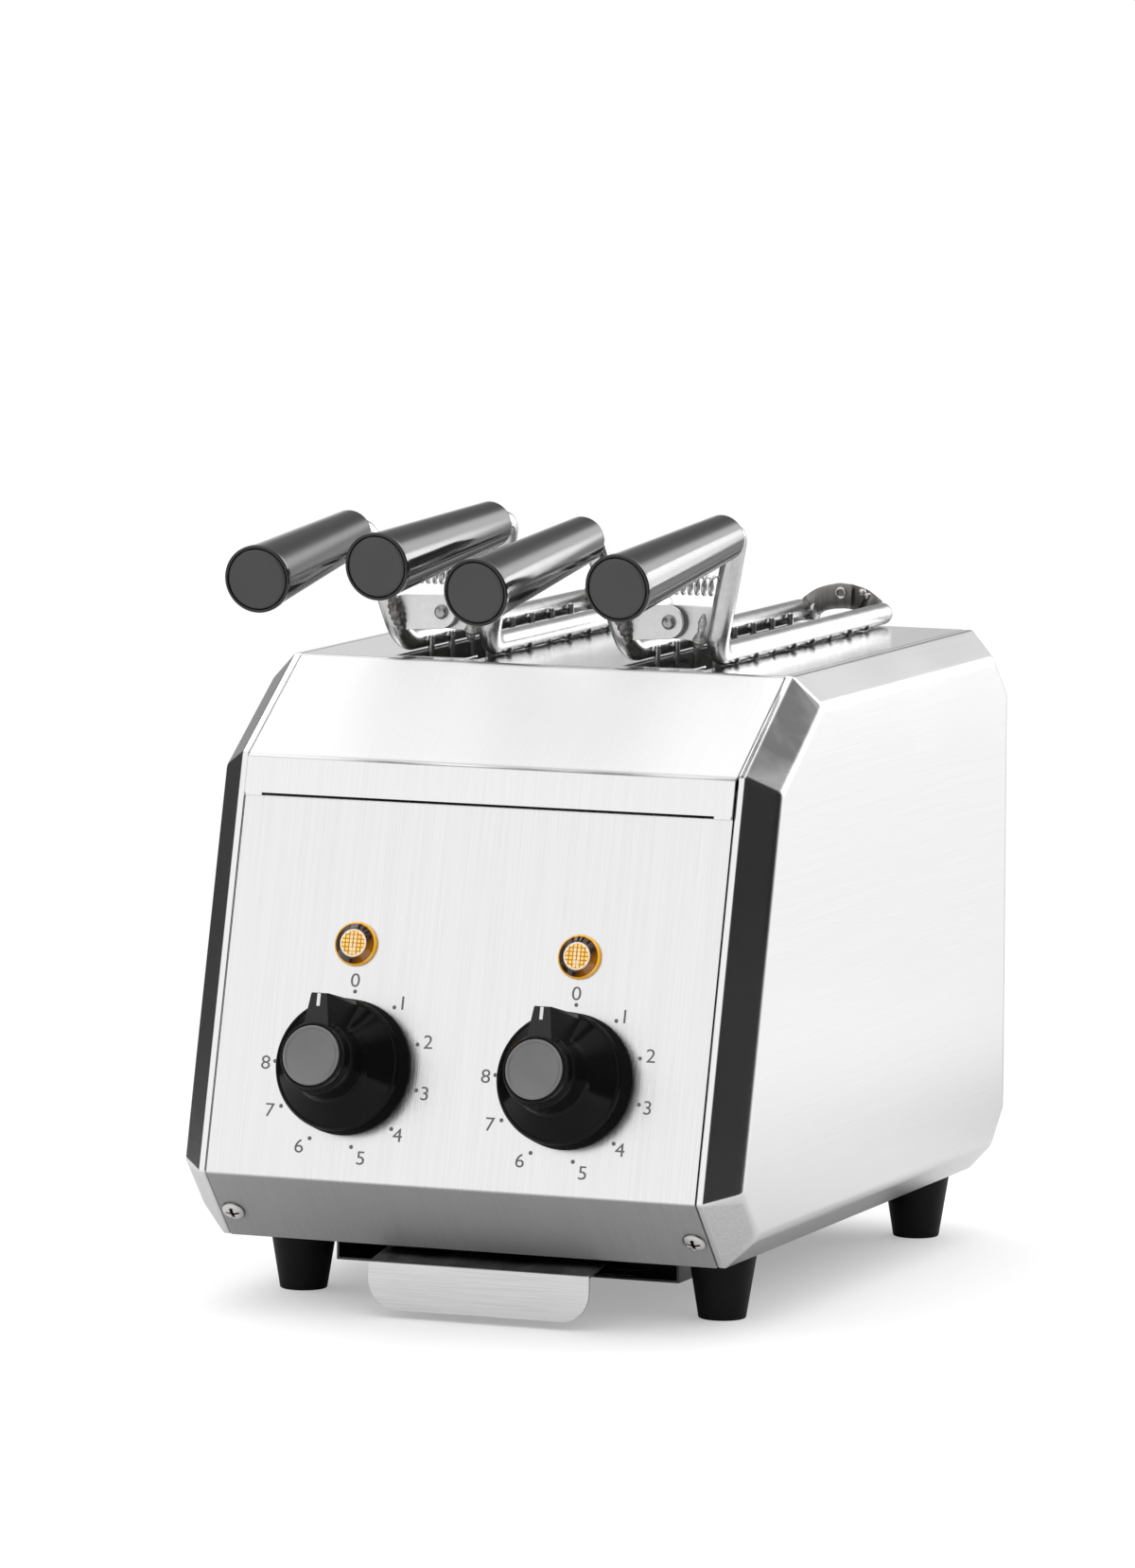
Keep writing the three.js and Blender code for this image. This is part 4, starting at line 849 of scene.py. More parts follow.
class TOASTER_OT_screws(bpy.types.Operator):
    """Makes the two cross-recessed screws on the lower facet"""
    bl_idname = "toaster.screws"
    bl_label = "Facet screws"

    def execute(self, context):
        place = OUTLINE[0] + FACET * 0.41
        # A dome with the cross pressed in. Its depth falls off over the arms' width and at their ends.
        r = np.concatenate([np.linspace(0, 3.1, 26), np.linspace(3.2, 4.2, 8)])
        angle = np.linspace(0, 2 * pi, 96, endpoint=False)
        rr, aa = np.meshgrid(r, angle, indexing="ij")
        x, y = rr * np.cos(aa + 0.3), rr * np.sin(aa + 0.3)
        dome = 2.4 * np.sqrt(np.clip(1 - (rr / 4.55) ** 2, 0, 1)) - 0.35
        arm = np.minimum(np.abs(x), np.abs(y))
        reach = np.maximum(np.abs(x), np.abs(y))
        cross = np.clip((0.62 - arm) / 0.22, 0, 1) * np.clip((2.55 - reach) / 0.4, 0, 1)
        top = np.stack([x, y, dome - 1.5 * cross], -1)
        face = np.stack([cross, rr / 4.2], -1)
        face = np.concatenate([face, face[-1:] * (0, 1), face[-1:] * (0, 1)]).reshape(-1, 2)
        base = np.stack([x[-1:], y[-1:], np.zeros_like(x[-1:])], -1)
        head = net(np.concatenate([top, base, np.zeros_like(base)]), wrap_v=True)
        for name, side in SIDES.items():
            placed = set_on(head, (side * SCREW_MIDDLE, *place), FACET_OUT)
            piece(f"screw_head_{name}", [placed], "base",
                  "cross_screw", f"facet_screw_{name}", sharp=60, uv=face)
        return {"FINISHED"}


# ------------------------------------------------------------------ dials, lamps and print

class TOASTER_OT_dials(bpy.types.Operator):
    """Moulds the two dials with their pointers and caps"""
    bl_idname = "toaster.dials"
    bl_label = "Dials"

    def execute(self, context):
        skirt = rounded([
            (0, 12), (3.3, 12), (3.3, 3.2), (20.4, 3.2), (20.4, 1.6), (22.6, 1.6), (22.6, 8.6),
            (22.95, 8.7), (22.3, 9.9), (21.6, 10.2), (21.5, 9.95), (14.2, 15.9), (13.2, 17.6),
            (12.6, 28.7), (11.5, 29.7), (11.3, 33), (10.5, 33), (10.5, 31.7), (0, 31.7),
        ], [0, 0.3, 0.3, 0.3, 0.3, 0.1, 0.2, 0.5, 0.1, 0.1, 1.2, 1.0, 0.6, 0.5, 0.4, 0.3, 0.2], 5)
        wall = rounded([
            (21.5, 1.2), (23.4, 1.2), (23.4, 1.8), (22.95, 8.5), (21.5, 8.5),
        ], [0.2, 0.2, 0.1], 4)
        cap = rounded([
            (0, 31.8), (10.3, 31.8), (10.3, 33.33), (9.5, 33.33), (8.9, 32.95), (4.6, 32.05), (0, 31.9),
        ], [0.1, 0.3, 0.3, 1.2, 12], 10)
        mark = slab([(-0.6, 17.2), (0.6, 17.2), (0.6, 21.5), (-0.6, 21.5)], 31.2, 31.26, 0.02)
        # Name, surface, finish, replaced node, slot and the sharp angle.
        rows = (
            ("moulding", turned(skirt, 96), "dial_black", "timer_dial_", "dial_black", 28),
            ("wall", pipe(wall, 96), "dial_matte", "", "dial_black", 28),
            ("pointer", self.pointer(), "pointer_black", "", "dial_black", 28),
            ("cap", turned(cap, 96), "dial_cap_grey", "dial_cap_", "dial_cap_grey", 28),
            ("line", mark, "pointer_white", "", "dial_cap_grey", 35),
        )
        for name, x in DIAL_MIDDLES.items():
            for label, surface, finish, node, slot, sharp in rows:
                piece(f"dial_{name}_{label}", [on_panel(surface, x, DIAL_UP)], f"{name}_dial",
                      finish, node and node + name, sharp)
        return {"FINISHED"}

    def pointer(self):
        """A block on the hub whose outline narrows straight from base to top, with a low bevel on top."""
        base = np.array([(-6.6, 9.0), (6.6, 9.0), (6.3, 20.2), (4.8, 22.0), (-4.8, 22.0), (-6.3, 20.2)])
        top = np.array([(-4.9, 9.0), (4.9, 9.0), (3.1, 21.4), (2.9, 21.8), (-2.9, 21.8), (-3.1, 21.4)])
        under_bevel = base + (top - base) * 0.97
        rings = []
        for outline, size, height in (
            (base, 0, 8.0), (base, 1, 8.0), (under_bevel, 1, 30.6), (top, 0.95, 31.2), (top, 0, 31.2),
        ):
            middle = outline.mean(0)
            rings.append(np.column_stack([middle + (outline - middle) * size, np.full(6, height)]))
        return net(np.stack(rings), wrap_v=True)


class TOASTER_OT_lamps(bpy.types.Operator):
    """Makes the two amber lamps"""
    bl_idname = "toaster.lamps"
    bl_label = "Lamps"

    def execute(self, context):
        profile = rounded([
            (0, 0.2), (LAMP_RADIUS, 0.2), (LAMP_RADIUS, 1.2), (6.9, 1.7), (5.4, 2.9), (4.7, 3.3), (0, 3.4),
        ], [0.1, 0.5, 0.5, 0.5, 0.6], 5)
        lens = turned(profile)
        face = lens[0][:, :2] / LAMP_RADIUS
        for name, x in LAMP_MIDDLES.items():
            piece(f"lamp_{name}_lens", [on_panel(lens, x, LAMP_UP)], "base",
                  "lamp_amber", f"lamp_{name}", uv=face)
        return {"FINISHED"}


# Where the numbers 0 to 8 stand round a dial's middle, to the right and up.
DIGIT_PLACES = [
    (-0.3, 30.8), (18.0, 23.9), (28.8, 11.1), (29.4, -6.6), (21.0, -21.4), (8.3, -30.1),
    (-14.8, -27.3), (-26.9, -15.6), (-30.3, 0.7),
]
DIGIT_WIDTH_SHARE = 1.12
DOT_TURN = radians(34.09)
DOT_CIRCLE = 26.88
INK = 0.03


def text_mesh(words, height):
    """Flat letters as a mesh about their own middle, in millimetres."""
    curve = bpy.data.curves.new("words", "FONT")
    curve.body = words
    curve.size = height * 1.38
    curve.resolution_u = 8
    holder = bpy.data.objects.new("words", curve)
    bpy.context.scene.collection.objects.link(holder)
    bpy.context.view_layer.update()
    mesh = bpy.data.meshes.new_from_object(holder.evaluated_get(bpy.context.evaluated_depsgraph_get()))
    points = np.empty(len(mesh.vertices) * 3)
    mesh.vertices.foreach_get("co", points)
    points = points.reshape(-1, 3)
    faces = [list(face.vertices) for face in mesh.polygons]
    bpy.data.objects.remove(holder)
    bpy.data.curves.remove(curve)
    bpy.data.meshes.remove(mesh)
    points[:, :2] -= (points[:, :2].min(axis=0) + points[:, :2].max(axis=0)) / 2
    return points, faces


class TOASTER_OT_dial_print(bpy.types.Operator):
    """Prints the numbers 0 to 8 and their dots round each dial"""
    bl_idname = "toaster.dial_print"
    bl_label = "Dial numbers"

    def execute(self, context):
        look = sizes(context, "toaster_dials")
        radius = look.dot_radius / MM
        angle = np.linspace(0, 2 * pi, 20, endpoint=False)
        parts = []
        for i, (across, up) in enumerate(DIGIT_PLACES):
            points, faces = text_mesh(str(i), look.digit_height / MM)
            parts.append((points * (DIGIT_WIDTH_SHARE, 1, 1) + (across, up, INK), faces))
            dot = np.column_stack([
                DOT_CIRCLE * sin(DOT_TURN * i) + radius * np.cos(angle),
                DOT_CIRCLE * cos(DOT_TURN * i) + radius * np.sin(angle),
                np.full(len(angle), INK),
            ])
            parts.append((dot, [np.arange(len(angle))]))
        for name, x in DIAL_MIDDLES.items():
            placed = [on_panel(part, x, PRINT_UP) for part in parts]
            numbers = piece(f"dial_{name}_numbers", placed, "base", "print_grey")
            wall = numbers.modifiers.new("ink", "SOLIDIFY")
            wall.thickness = INK * MM
            wall.offset = 1
        return {"FINISHED"}


# ------------------------------------------------------------------ tongs

# Each handle's cap and bend: how far out from the slot's middle, and how high above the deck.
GRIPS = {
    "left": {"left": (21.4, 26.7, 35.2, 43.6), "right": (22.3, 26.0, 41.2, 48.6)},
    "right": {"left": (26.5, 24.4, 33.9, 44.8), "right": (24.5, 26.8, 37.4, 47.3)},
}
GRIP_FRONT = -18.4
GRIP_LENGTH = 94.8
RAIL_FRONT = 101.5
RAIL_REAR = 269.6
RAIL_SPAN = 16.0
RAIL_GAP = 0.5
RAIL_RISE = 4.4
# How far a riser's top lies out, back and above the deck.
RISER_TOP = (8.3, -7.0, 36.5)
# Depth and height of the rivet and of the eyelet.
PIVOT = (94.4, 234.9)
REAR_PIVOT = (269.6, 230.8)
BACK = (0, 1, 0)
# The flattened end of a tube: places out from the pivot with its top and underside above the deck.
STRAP = np.array([
    (12.8, 10.3, 2.2), (11, 11.6, 3.0), (9, 12.4, 3.8), (6, 13.5, 4.7), (3, 14.3, 5.3), (-1, 14.6, 5.6),
    (-3.2, 14.3, 5.5), (-3.9, 13.6, 6.1),
])
STRAP_HALF_WALL = 0.75
LUG_RADII = (5.9, 6.2)
LUG_REACH = 14
LUG_DROP = 0.6
LUG_WALL = 2
# The weld on each half's riser: heights from the rivet, radii there, and its place in from the tube's
# middle line and in front of it, as shares of the tube's radius.
BEADS = {
    -1: ((-6.6, -3.6, -0.4, 2.8, 5.6), (1.7, 2.6, 2.9, 2.6, 1.6), 0.55, 0.45),
    1: ((-8.2, -5.6, -2.9, 0.9, 3.4), (1.3, 2.5, 1.1, 1.5, 0.7), 1.55, 0.55),
}
WIRE_DEPTHS = RAIL_FRONT + 9.9 + 19 * np.arange(8)
GRID_DEPTH = 112
BAR_LENGTH = 141
BAR_SHARES = (0.42, 0.98)
SPRING_RISE = 29
SPRING_RADIUS = 3.1
SPRING_TURNS = 14


def halves():
    """Each half of each pair of tongs: its pair and half, its slot's middle, its side, its pieces' name and
    its body."""
    for tongs, middle in SLOT_MIDDLES.items():
        for half, side in SIDES.items():
            yield tongs, half, middle, side, f"{tongs}_tongs_{half}", f"{tongs}_tongs_half_{half}"


def grip_ends(tongs, half):
    """Cap end, bent end and direction of one handle."""
    side, middle = SIDES[half], SLOT_MIDDLES[tongs]
    cap_out, bend_out, cap_rise, bend_rise = GRIPS[tongs][half]
    cap = np.array([middle + side * cap_out, GRIP_FRONT, DECK + cap_rise])
    reach = (GRIP_LENGTH ** 2 - (bend_out - cap_out) ** 2 - (bend_rise - cap_rise) ** 2) ** 0.5
    bend = np.array([middle + side * bend_out, GRIP_FRONT + reach, DECK + bend_rise])
    return cap, bend, (bend - cap) / np.linalg.norm(bend - cap)


def tube_path(tongs, half, radius):
    """One tube's middle line, in straights joined by arcs: out of the handle, down the riser, back along
    the rail, and round towards the eyelet."""
    side, middle = SIDES[half], SLOT_MIDDLES[tongs]
    bend, along = grip_ends(tongs, half)[1:]
    rail = DECK + RAIL_GAP + radius
    x = middle + side * RAIL_SPAN
    foot = np.array([x, RAIL_FRONT - radius, rail])
    top_y = RAIL_FRONT - radius + RISER_TOP[1]
    top = np.array([x + side * RISER_TOP[0], top_y, DECK + RISER_TOP[2]])
    turn = foot + (top - foot) * (bend[2] - foot[2]) / (top[2] - foot[2])
    corners = [
        bend - along * 30, bend + along * radius, turn, foot,
        (x, RAIL_REAR, rail), (x - side * 6.2, RAIL_REAR, rail),
    ]
    return rounded(corners, [9, 9, 10, 5.8], 10)


def riser_share(rise):
    """How far up its riser, from the rail's middle line, a height above the deck is."""
    return (rise - RAIL_RISE) / (RISER_TOP[2] - RAIL_RISE)


def link_outline(x0, z0, r0, x1, z1, r1, count=28):
    """The outline of a plate round two circles and their outer tangents, as points in (x, z)."""
    facing = atan2(z1 - z0, x1 - x0)
    tilt = acos((r0 - r1) / hypot(x1 - x0, z1 - z0))
    a = np.linspace(facing + tilt, facing - tilt + 2 * pi, count)
    b = np.linspace(facing - tilt, facing + tilt, count)
    first = np.column_stack([x0 + r0 * np.cos(a), z0 + r0 * np.sin(a)])
    second = np.column_stack([x1 + r1 * np.cos(b), z1 + r1 * np.sin(b)])
    return np.concatenate([first, second])


def upright_plate(outline, y0, y1):
    """A plate whose outline stands upright, from depth y0 to y1."""
    points, quads = slab(outline, y0, y1, 0.3)
    return points[:, [0, 2, 1]], quads


class TOASTER_OT_tong_tubes(bpy.types.Operator):
    """Bends the tubes of both pairs of tongs, with their pivot lugs, rear straps and weld beads"""
    bl_idname = "toaster.tong_tubes"
    bl_label = "Tong tubes"

    def execute(self, context):
        radius = sizes(context, "toaster_tongs").tube_radius / MM
        for tongs, half, middle, side, name, body in halves():
            right = side > 0
            path = tube_path(tongs, half, radius)
            tube = swept(path, radius, 32, across=(1, 0, side), ends=0.25)
            piece(f"{name}_bent_tube", [tube], body,
                  "tube_steel", f"{tongs}_tongs_tube_{half}", sharp=40)
            piece(f"{name}_lug", [self.lug(middle, side)], body,
                  "lug_steel", sharp=40)
            strap_depth = RAIL_REAR + (0.15 if right else -1.65)
            # The straps' dark colours are painted shade, darker on the right halves.
            piece(f"{name}_strap", [self.strap(middle, side, strap_depth)], body,
                  "strap_painted_shade_steel" if right else "strap_pale_painted_shade_steel", sharp=40)
            beads = [self.riser_bead(middle, side, radius)]
            if right:
                beads.append(self.shoulder_bead(middle, strap_depth))
            piece(f"{name}_weld", beads, body,
                  "weld_pale_steel" if right else "weld_steel", sharp=60)
            piece(f"{name}_tacks", self.tacks(middle, side), body,
                  "tack_steel" if right else "wire_steel", sharp=60)
        return {"FINISHED"}

    def lug(self, middle, side):
        """A flat plate from the rivet to the riser. The right half's lies behind the left one's."""
        depth = PIVOT[0] + (3.5 if side > 0 else 0)
        eye = middle - (0.8 if side < 0 else 0)
        heel = (middle + side * LUG_REACH, PIVOT[1] - LUG_DROP)
        outline = link_outline(eye, PIVOT[1], LUG_RADII[0], *heel, LUG_RADII[1])
        return upright_plate(outline, depth, depth + LUG_WALL)

    def strap(self, middle, side, depth):
        """The tube's end is pressed flat and rises in an arch to the eyelet. Its middle line and its two half
        widths go from the round tube's to the flat strap's as flat goes from 0 to 1."""
        out = np.linspace(STRAP[0, 0], STRAP[-1, 0], 40)
        top, low = (np.interp(-out, -STRAP[:, 0], STRAP[:, i]) for i in (1, 2))
        flat = np.clip((10.8 - out) / 3.2, 0, 1) ** 0.8
        depths = RAIL_REAR * (1 - flat) + (depth + STRAP_HALF_WALL) * flat
        line = np.column_stack([middle + side * out, depths, DECK + (top + low) / 2])
        line[:, 2] -= (1 - flat) * 0.8
        thin = 4.0 * (1 - flat) + STRAP_HALF_WALL * flat
        return swept(line, thin, 28, across=(1, 0, side), ends=0.05, tall=(top - low) / 2)

    def riser_bead(self, middle, side, radius):
        """The weld where the lug meets its riser, with a faint ripple."""
        rise, swell, inward, forward = BEADS[side]
        rise, swell = (np.interp(np.linspace(0, 4, 30), np.arange(5), row) for row in (rise, swell))
        swell = swell * (1 + 0.07 * np.sin(np.arange(30) * 1.3))
        share_up = riser_share(PIVOT[1] + rise - DECK)
        x = middle + side * (RAIL_SPAN + RISER_TOP[0] * share_up - radius * inward)
        y = RAIL_FRONT - radius + RISER_TOP[1] * share_up - radius * forward
        return lump(np.column_stack([x, y, PIVOT[1] + rise]), swell, 24)

    def shoulder_bead(self, middle, depth):
        """The weld along the right strap's shoulder."""
        along = np.linspace(0, 1, 26)
        x, z = middle + 7.4 + 6.2 * along, DECK + 11.9 - 4.0 * along
        line = np.column_stack([x, np.full(26, depth - 0.4), z])
        return lump(line, 1.1 + 0.35 * np.sin(along * 19))

    def tacks(self, middle, side):
        """Where each wire of the grid is tacked under its rail. The right halves show a stub of wire too."""
        rail = middle + side * RAIL_SPAN
        inner = rail - side * 4.0
        tacks = []
        for i, depth in enumerate(WIRE_DEPTHS):
            if side > 0:
                reach = 3.1 + 0.4 * sin(i * 2.3)
                stub = rounded([
                    (rail - side * 4.6, depth, DECK + 2.0), (rail, depth + 0.4, DECK + 1.1),
                    (rail + side * reach, depth + 0.2, DECK + 1.7),
                ], [3], 6)
                tacks.append(swept(stub, 0.9 + 0.15 * cos(i * 1.7), 12, across=(0, 1, 0), ends=0.6))
            spot = [(inner, depth - 1.1, DECK + 3.6), (inner, depth + 1.1, DECK + 4.0)]
            tacks.append(swept(spot, 0.75, 10, ends=0.8))
        return tacks


class TOASTER_OT_grips(bpy.types.Operator):
    """Turns the four handle sleeves and their caps"""
    bl_idname = "toaster.grips"
    bl_label = "Handles"

    def execute(self, context):
        look = sizes(context, "toaster_tongs")
        radius, rear = look.grip_radius / MM, look.grip_rear / MM
        sleeve = rounded([
            (0, 3), (radius - 1.1, 3), (radius - 1.1, 0), (radius, 0), (radius, 2.2), (radius - 0.4, 2.6),
            (rear, GRIP_LENGTH), (4.3, GRIP_LENGTH), (4.3, GRIP_LENGTH - 30), (0, GRIP_LENGTH - 30),
        ], [0.1, 0.4, 0.55, 0.4, 0.5, 1.6, 0.3, 0.1], 6)
        cap = rounded([
            (0, 2.7), (radius - 1.4, 2.7), (radius - 1.4, 0.1), (radius - 2.2, -0.35), (0, -0.5),
        ], [0.1, 0.5, 0.8], 5)
        for tongs, half, _, _, name, body in halves():
            start, _, along = grip_ends(tongs, half)
            piece(f"{name}_handle", [set_on(turned(sleeve, 96), start, along)], body,
                  "grip_black", f"{tongs}_tongs_grip_{half}")
            piece(f"{name}_handle_cap", [set_on(turned(cap, 96), start, along)], body,
                  "grip_cap_black", f"{tongs}_tongs_grip_cap_{half}")
        return {"FINISHED"}


class TOASTER_OT_grids(bpy.types.Operator):
    """Bends the wires of the four grids"""
    bl_idname = "toaster.grids"
    bl_label = "Wire grids"

    def execute(self, context):
        radius = sizes(context, "toaster_tongs").wire_radius / MM
        front, foot = RAIL_FRONT + 5.9, DECK - GRID_DEPTH
        for tongs, half, middle, side, name, body in halves():
            x = middle + side * (RAIL_SPAN - TUBE - radius - SEAM)
            wires = []
            for y in WIRE_DEPTHS:
                line = rounded([(x, y, DECK + 5.2), (x, y, foot), (x - side * 7, y, foot)], 3, 6)
                wires.append(swept(line, radius, 12, across=(0, 1, 0), ends=0.4))
            bar_x = x + side * (2 * radius - 0.5)
            for share_down in BAR_SHARES:
                z = DECK - GRID_DEPTH * share_down
                bar = [(bar_x, front, z), (bar_x, front + BAR_LENGTH, z)]
                wires.append(swept(bar, radius, 12, ends=0.4))
            piece(f"{name}_wires", wires, body,
                  "wire_steel", f"{tongs}_tongs_grid_{half}")
        return {"FINISHED"}


class TOASTER_OT_pivots(bpy.types.Operator):
    """Makes the rivets, eyelets and return springs of both pairs of tongs"""
    bl_idname = "toaster.pivots"
    bl_label = "Pivots and springs"

    def execute(self, context):
        rivet = rounded([
            (0, -2.1), (1.9, -1.7), (2.75, -0.25), (1.7, -0.25),
            (1.7, 5.75), (2.75, 5.75), (1.9, 7.1), (0, 7.4),
        ], [1.2, 0.3, 0.1, 0.1, 0.3, 0.9], 4)
        washer = rounded([(1.8, 2.2), (5.9, 2.2), (5.9, 3.3), (1.8, 3.3)], 0.3, 4)
        eyelet = rounded([
            (1.3, -2.2), (1.6, -2.4), (2.1, -2.2), (2.1, -1.7), (1.6, -1.7),
            (1.6, 1.7), (2.1, 1.7), (2.1, 2.2), (1.6, 2.4), (1.3, 2.2),
        ], 0.2, 4)
        for tongs, middle in SLOT_MIDDLES.items():
            body = f"{tongs}_tongs_pivot"
            place, rear_place = (middle, *PIVOT), (middle, *REAR_PIVOT)
            piece(f"{tongs}_tongs_pivot_rivet", [set_on(turned(rivet, 48), place, BACK)], body,
                  "rivet_steel", f"{tongs}_tongs_rivet")
            # The washer's dark colour is painted shade, for the dark gap between the pivot plates.
            piece(f"{tongs}_tongs_pivot_washer", [set_on(pipe(washer, 48), place, BACK)], body,
                  "tack_steel")
            piece(f"{tongs}_tongs_rear_eyelet", [set_on(pipe(eyelet, 48), rear_place, BACK)], body,
                  "eyelet_steel", f"{tongs}_tongs_eyelet")
            # A helix between the risers, with a straight end into each.
            climb = riser_share(SPRING_RISE + SPRING_RADIUS)
            y = RAIL_FRONT - TUBE + RISER_TOP[1] * climb
            half = RAIL_SPAN + RISER_TOP[0] * climb - TUBE - 0.35
            coil = half - 1.1
            angle = np.linspace(0, 2 * pi * SPRING_TURNS, SPRING_TURNS * 28 + 1)
            turns = np.column_stack([
                middle - coil + 2 * coil * angle / angle[-1],
                y + SPRING_RADIUS * np.sin(angle),
                DECK + SPRING_RISE + SPRING_RADIUS * np.cos(angle),
            ])
            ends = [[(middle + s * half, y, DECK + SPRING_RISE + SPRING_RADIUS)] for s in (-1, 1)]
            path = np.concatenate([ends[0], turns, ends[1]])
            wire = swept(path, 0.55, 10, across=(1, 0.02, 0.02), ends=0.3)
            spring = piece(f"{tongs}_tongs_return_spring", [wire], body,
                           "spring_steel", f"{tongs}_tongs_spring", sharp=80)
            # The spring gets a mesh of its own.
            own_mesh(spring)
        return {"FINISHED"}


# ------------------------------------------------------------------ finishes and stage

class TOASTER_OT_finishes(bpy.types.Operator):
    """Makes every material, and puts the inner and hidden pieces in theirs"""
    bl_idname = "toaster.finishes"
    bl_label = "Finishes"

    def execute(self, context):
        body = sizes(context, "toaster_body")
        dials = sizes(context, "toaster_dials")
        tongs = sizes(context, "toaster_tongs")
        # Cycles per metre along each axis: the grain runs across the large ones.
        upright = (2600, 24, 24)
        plain = (2200, 20, 900)
        strap = (1800, 30, 60)
        front_steel("front_steel", tuple(body.steel), body.roughness, upright)
        cover_steel("cover_steel", grey(0.9), upright)
        side_steel("side_steel", grey(0.88), 0.2, (900, 14, 2200))
        tray_steel("tray_steel", grey(0.9), 0.4, (24, 24, 2600))
        # Painted shade: the channel under the body is near black.
        brushed_steel("channel_painted_shade_steel", grey(0.1), 0.3, plain, streak=0.3)
        brushed_steel("plain_steel", grey(0.7), 0.36, plain, streak=0.12)
        brushed_steel("lug_steel", grey(0.9), 0.5, (300, 300, 300))
        # Painted shade: the straps are far darker than the tubes they are pressed from, the right halves'
        # most.
        brushed_steel("strap_pale_painted_shade_steel", (0.3, 0.29, 0.28), 0.4, strap, streak=0.4, spread=0.2)
        brushed_steel("strap_painted_shade_steel", (0.17, 0.165, 0.16), 0.4, strap, streak=0.5, spread=0.2)
        polished_steel("tack_steel", (0.2, 0.195, 0.19), 0.4)
        polished_steel("tube_steel", tuple(tongs.tube), 0.27, 0.08)
        polished_steel("wire_steel", grey(0.6), 0.24)
        polished_steel("spring_steel", grey(0.52), 0.2)
        polished_steel("rivet_steel", grey(0.44), 0.3)
        polished_steel("screw_steel", (0.75, 0.74, 0.72), 0.2)
        polished_steel("heat_steel", grey(0.62), 0.3)
        polished_steel("eyelet_steel", grey(0.8), 0.2)
        cross_screw("cross_screw", (0.85, 0.84, 0.82))
        weld_steel("weld_steel", (0.34, 0.33, 0.32))
        weld_steel("weld_pale_steel", (0.72, 0.71, 0.7), 0.6)
        moulded("grip_black", tuple(tongs.grip), 0.1, 0.1)
        moulded("grip_cap_black", tuple(tongs.grip_cap), 0.5)
        moulded("dial_black", tuple(dials.black), 0.14, 0.1, shine=0.14)
        moulded("pointer_black", grey(0.006), 0.3, 0.2, shine=0.4)
        moulded("dial_matte", grey(0.004), 0.7, 0.4, shine=0.02)
        moulded("dial_cap_grey", tuple(dials.cap), 0.18)
        moulded("foot_rubber", tuple(body.foot), 0.5, 0.6, shine=0.15)
        moulded("print_grey", tuple(dials.print_grey), 0.6)
        moulded("pointer_white", grey(0.62), 0.5)
        moulded("inner_plastic", (0.7, 0.67, 0.6), 0.5)
        moulded("heating_quartz", (0.6, 0.57, 0.5), 0.35)
        lamp_amber("lamp_amber", tuple(dials.lamp))
        dress("plain_steel", "rear_panel", "base_pan")
        dress("channel_painted_shade_steel", "tray_channel")
        dress("tray_steel", "crumb_tray")
        dress("heat_steel", "heat_box", *(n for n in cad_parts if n.startswith("wire_guard")))
        dress("heating_quartz", *(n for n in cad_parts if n.startswith("heating_tube")))
        dress("inner_plastic", "terminal_block", "timer_left", "timer_right")
        dress("screw_steel", "timer_shaft_left", "timer_shaft_right")
        dress("foot_rubber", "cable_gland")
        return {"FINISHED"}


# The camera that was fitted to the photograph: turned from straight ahead, raised and rolled.
CAMERA_AZIMUTH = radians(21.52)
CAMERA_HEIGHT = radians(6.38)
CAMERA_ROLL = radians(0.47)
CAMERA_PLACE = (1264.1, -3098.04, 560.7)
FRAME_HEIGHT = 1658
FOCAL_PIXELS = 10518
SENSOR = 36


def look_along(right, up, back):
    """The turn that sets an object's own axes along these three."""
    return Matrix(np.column_stack([right, up, back]).tolist()).to_4x4()


